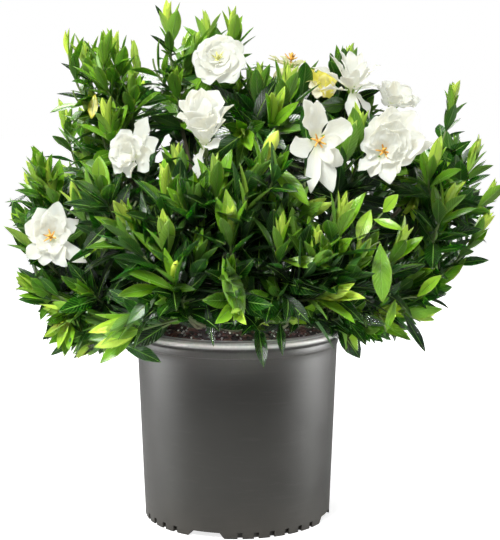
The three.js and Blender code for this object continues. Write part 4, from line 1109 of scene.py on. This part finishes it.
def corolla(number, bloom):
    """Tube and petals of one bloom."""
    random = Random(300 + number)
    bm, layers = grown_mesh()
    bm.loops.layers.uv.new("UVMap")
    axis = Vector(bloom["face"]).normalized()
    middle = Vector(bloom["at"])
    line = [middle + axis * height for height in THROAT_HEIGHTS]
    grow_stem(bm, line, THROAT_RADII, 16, layers, [0] * 5)
    bottom = (-UP + axis * axis.z).normalized()
    right = axis.cross(bottom)
    for turn, opening, length, width in bloom["petals"]:
        turn = math.radians(turn + random.uniform(-4, 4))
        opened = math.radians(opening + random.uniform(-4, 4))
        along, face = leaned(axis, outward_at((bottom, right), turn), opened)
        face.rotate(Matrix.Rotation(random.uniform(0.05, 0.3), 3, along))
        if opening < LIES_BACK:
            inward = random.uniform(0.15, 0.45) * (0.5 + opening / 80)
        else:
            inward = random.uniform(-0.3, 0.2)
        outline = pointed if width < NARROW * length or random.random() < POINTED else spoon
        crumple = bloom.get("crumple", 1)
        draw_blade(bm, petal_blank, PETAL_STATIONS, layers, middle - axis * 1.5, along, face, length * LONGER,
                   WIDER * width, outline, PETAL_THICK, bend=-inward,
                   curl=random.uniform(0.3, 1.1) * crumple, cup=random.uniform(0.1, 0.4),
                   wave=random.uniform(0.18, 0.34) * crumple,
                   waves=random.uniform(1.4, 3.2), phase=random.uniform(0, math.tau),
                   twist=random.uniform(-0.4, 0.4) * crumple, ragged=0.11, tint=random.random())
    return bm


def petal_finish(name, base, body, edge, paler=None):
    """Waxy petal with a tinted base, faint lengthwise veins, a crisp margin and a painted glow in its own
    colour. Some may be paler.
    """
    material, tree, shader, place = new_material(name)
    across_along = node(tree, "SeparateXYZ", {0: tree.nodes.new("ShaderNodeUVMap").outputs[0]})
    aside = maths(tree, "ABSOLUTE", maths(tree, "SUBTRACT", across_along.outputs[0], 0.5))
    mottle, height = relief(tree, place, 70, 1300, 0.5)
    colour = ramp(tree, across_along.outputs[1], (0.0, base), (0.35, body), (1.0, body))
    if paler:
        colour = mix(tree, ramp(tree, tint_of(tree), (0.25, 1), (0.45, 0)), colour, paler)
    spread = node(tree, "CombineXYZ", {0: times(tree, across_along.outputs[0], 26.0),
                                       1: times(tree, across_along.outputs[1], 1.6)})
    veins = node(tree, "TexNoise", {"Vector": spread.outputs[0], "Scale": 1.0, "Detail": 2}).outputs[0]
    margin = ramp(tree, aside, (0.40, 0), (0.5, 1))
    colour = mix(tree, times(tree, mottle, 0.35), colour, edge)
    colour = mix(tree, times(tree, margin, 0.4), colour, edge)
    rough = ramp(tree, mottle, (0.3, PETAL_ROUGH), (0.8, PETAL_ROUGH + 0.15))
    # The emission is painted light: the petal glows in its own colour though it is no lamp.
    join(tree, shader, Base_Color=colour, Roughness=rough, Emission_Color=colour,
         Emission_Strength=PAINTED_PETAL_GLOW)
    raise_by(tree, shader, maths(tree, "ADD", veins, times(tree, height, 0.35)), 0.0007)
    let_light_in(tree, shader, 0.6, 0.006, (1.0, 0.85, 0.6))
    return material


white_petal = petal_finish("white_petal", (0.31, 0.34, 0.19), (0.352, 0.362, 0.325), (0.33, 0.332, 0.27))
yellow_petal = petal_finish("yellow_petal", (0.27, 0.29, 0.03), (0.37, 0.355, 0.05), (0.26, 0.19, 0.02),
                            paler=(0.38, 0.38, 0.28))
cream_petal = petal_finish("cream_petal", (0.25, 0.26, 0.07), (0.32, 0.33, 0.17), (0.24, 0.22, 0.09))
PETAL_LOOKS = {"bloom_fading": (yellow_petal, "fading_petal"), "bloom_spent": (cream_petal, "spent_petal")}

for number, (name, bloom) in enumerate(BLOOMS.items()):
    look, slot = PETAL_LOOKS.get(name, (white_petal, "petal"))
    finish_piece(name + "_petals", corolla(number, bloom), [look, look], slot, name)


# Anthers and stigma
# In the throat of an open bloom stands the club of the stigma, with the narrow anthers lying out round it.
ANTHERS, ANTHER_LENGTH, ANTHER_WIDTH, ANTHER_THICK = 6, 9.5, 1.9, 1.1
CLUB_HEIGHTS, CLUB_RADII = (0, 4, 8, 10.5, 12), (0.9, 1.0, 1.9, 1.9, 0.7)


def pollen_finish(name, dark, middle, light):
    """Grainy pollen on the club and the anthers."""
    material, tree, shader, place = new_material(name)
    mottle, height = relief(tree, place, 600, 3000, 0.5)
    colour = ramp(tree, mottle, (0.3, dark), (0.55, middle), (0.8, light))
    join(tree, shader, Base_Color=colour, Roughness=0.75)
    raise_by(tree, shader, height, 0.0006)
    return material


gold_pollen = pollen_finish("gold_pollen", (0.55, 0.22, 0.03), (0.80, 0.44, 0.07), (0.90, 0.68, 0.20))
pale_pollen = pollen_finish("pale_pollen", (0.50, 0.48, 0.12), (0.72, 0.72, 0.28), (0.85, 0.85, 0.50))
POLLENS = {"bloom_top": pale_pollen}


def club(share):
    """Width of an anther along its length."""
    return max(0.25, math.sin(math.pi * share ** 0.9) ** 0.5)


def anthers_of(number, bloom):
    """The stigma and the ring of anthers of one bloom."""
    random = Random(700 + number)
    bm, layers = grown_mesh()
    axis = Vector(bloom["face"]).normalized()
    seat = Vector(bloom["at"]) + axis * 2
    line = [seat + axis * height for height in CLUB_HEIGHTS]
    grow_stem(bm, line, CLUB_RADII, 10, layers, [0] * 5)
    for n in range(ANTHERS):
        outward = outward_at(basis(axis), n * math.tau / ANTHERS + random.uniform(-0.2, 0.2))
        along, face = leaned(axis, outward, random.uniform(0.8, 1.15))
        leaf_drawn(bm, layers, seat + axis * 3, along, face, ANTHER_LENGTH * random.uniform(0.85, 1.15),
                   ANTHER_WIDTH, club, ANTHER_THICK, bend=random.uniform(-0.4, 0.7), tint=random.random())
    return bm


for number, (name, bloom) in enumerate(BLOOMS.items()):
    if bloom.get("heart"):
        pollen = POLLENS.get(name, gold_pollen)
        hearts = anthers_of(number, bloom)
        finish_piece(name + "_pollen", hearts, [pollen, pollen], "anther", name + "_anthers")


# Stage
# A pale floor that runs out to the horizon, under soft boxes above, behind and on both sides, and a narrow
# strip for the lip of the pot. The boxes and the camera are given in metres.
FLOOR_RADIUS = 30000
CAMERA_AT, CAMERA_TILT, CAMERA_LENS, CAMERA_SENSOR = (0.0144, -1.4, 0.446), 83.16, 83.3, 36

floor_shape = bmesh.new()
bmesh.ops.create_circle(floor_shape, cap_ends=True, segments=96, radius=FLOOR_RADIUS)
floor_paint, tree, shader, place = new_material("floor_paint")
seen = tree.nodes.new("ShaderNodeLightPath").outputs["Is Camera Ray"]
from_middle = node(tree, "VectorMath", {0: place}, operation="LENGTH").outputs["Value"]
far = ramp(tree, times(tree, from_middle, 0.5), (0.1, 0), (0.5, 1))
glow = maths(tree, "ADD", times(tree, far, 0.22), 0.78)
join(tree, shader, Base_Color=mix(tree, seen, (0.4, 0.4, 0.4), (0.55, 0.55, 0.55)), Roughness=0.9,
     Emission_Color=(1, 1, 1, 1), Emission_Strength=times(tree, seen, glow))
object_of("floor", floor_shape, [floor_paint])


def soft_box(name, at, target, width, height, watts, spread=180):
    """A soft box that faces its target."""
    lamp = bpy.data.lights.new(name, "AREA")
    lamp.shape, lamp.size, lamp.size_y, lamp.energy = "RECTANGLE", width, height, watts
    lamp.spread = math.radians(spread)
    box = bpy.data.objects.new(name, lamp)
    box.location = at
    box.rotation_euler = (Vector(target) - Vector(at)).to_track_quat("-Z", "Y").to_euler()
    bpy.context.scene.collection.objects.link(box)


soft_box("top_box", (-0.5, -1.05, 1.4), (-0.03, 0, 0.4), 0.55, 0.55, 44)
soft_box("front_box", (0.25, -1.8, 1.1), (0, 0, 0.4), 1.4, 0.9, 4.5)
soft_box("lip_strip", (-0.05, -1.5, 0.44), (0, -0.11, 0.222), 1.3, 0.05, 0.24, 4)
soft_box("back_box", (-0.3, 1.0, 1.5), (0, 0, 0.4), 1.0, 0.6, 19)
soft_box("left_strip", (-1.2, 0.1, 0.06), (0, 0, 0.05), 1.6, 0.5, 5.2, 60)
soft_box("right_strip", (1.2, 0.1, 0.06), (0, 0, 0.03), 1.4, 0.5, 6, 60)

world = bpy.data.worlds.new("studio")
world.use_nodes = True
tree = world.node_tree
seen = tree.nodes.new("ShaderNodeLightPath").outputs["Is Camera Ray"]
join(tree, tree.nodes["Background"], Color=(1, 1, 1, 1),
     Strength=maths(tree, "ADD", times(tree, seen, 0.99), 0.01))
bpy.context.scene.world = world
bpy.context.scene.view_settings.view_transform = "Standard"

camera_lens = bpy.data.cameras.new("camera")
camera_lens.lens, camera_lens.sensor_width = CAMERA_LENS, CAMERA_SENSOR
camera = bpy.data.objects.new("camera", camera_lens)
camera.location = CAMERA_AT
camera.rotation_euler = (math.radians(CAMERA_TILT), 0, 0)
bpy.context.scene.collection.objects.link(camera)
bpy.context.scene.camera = camera
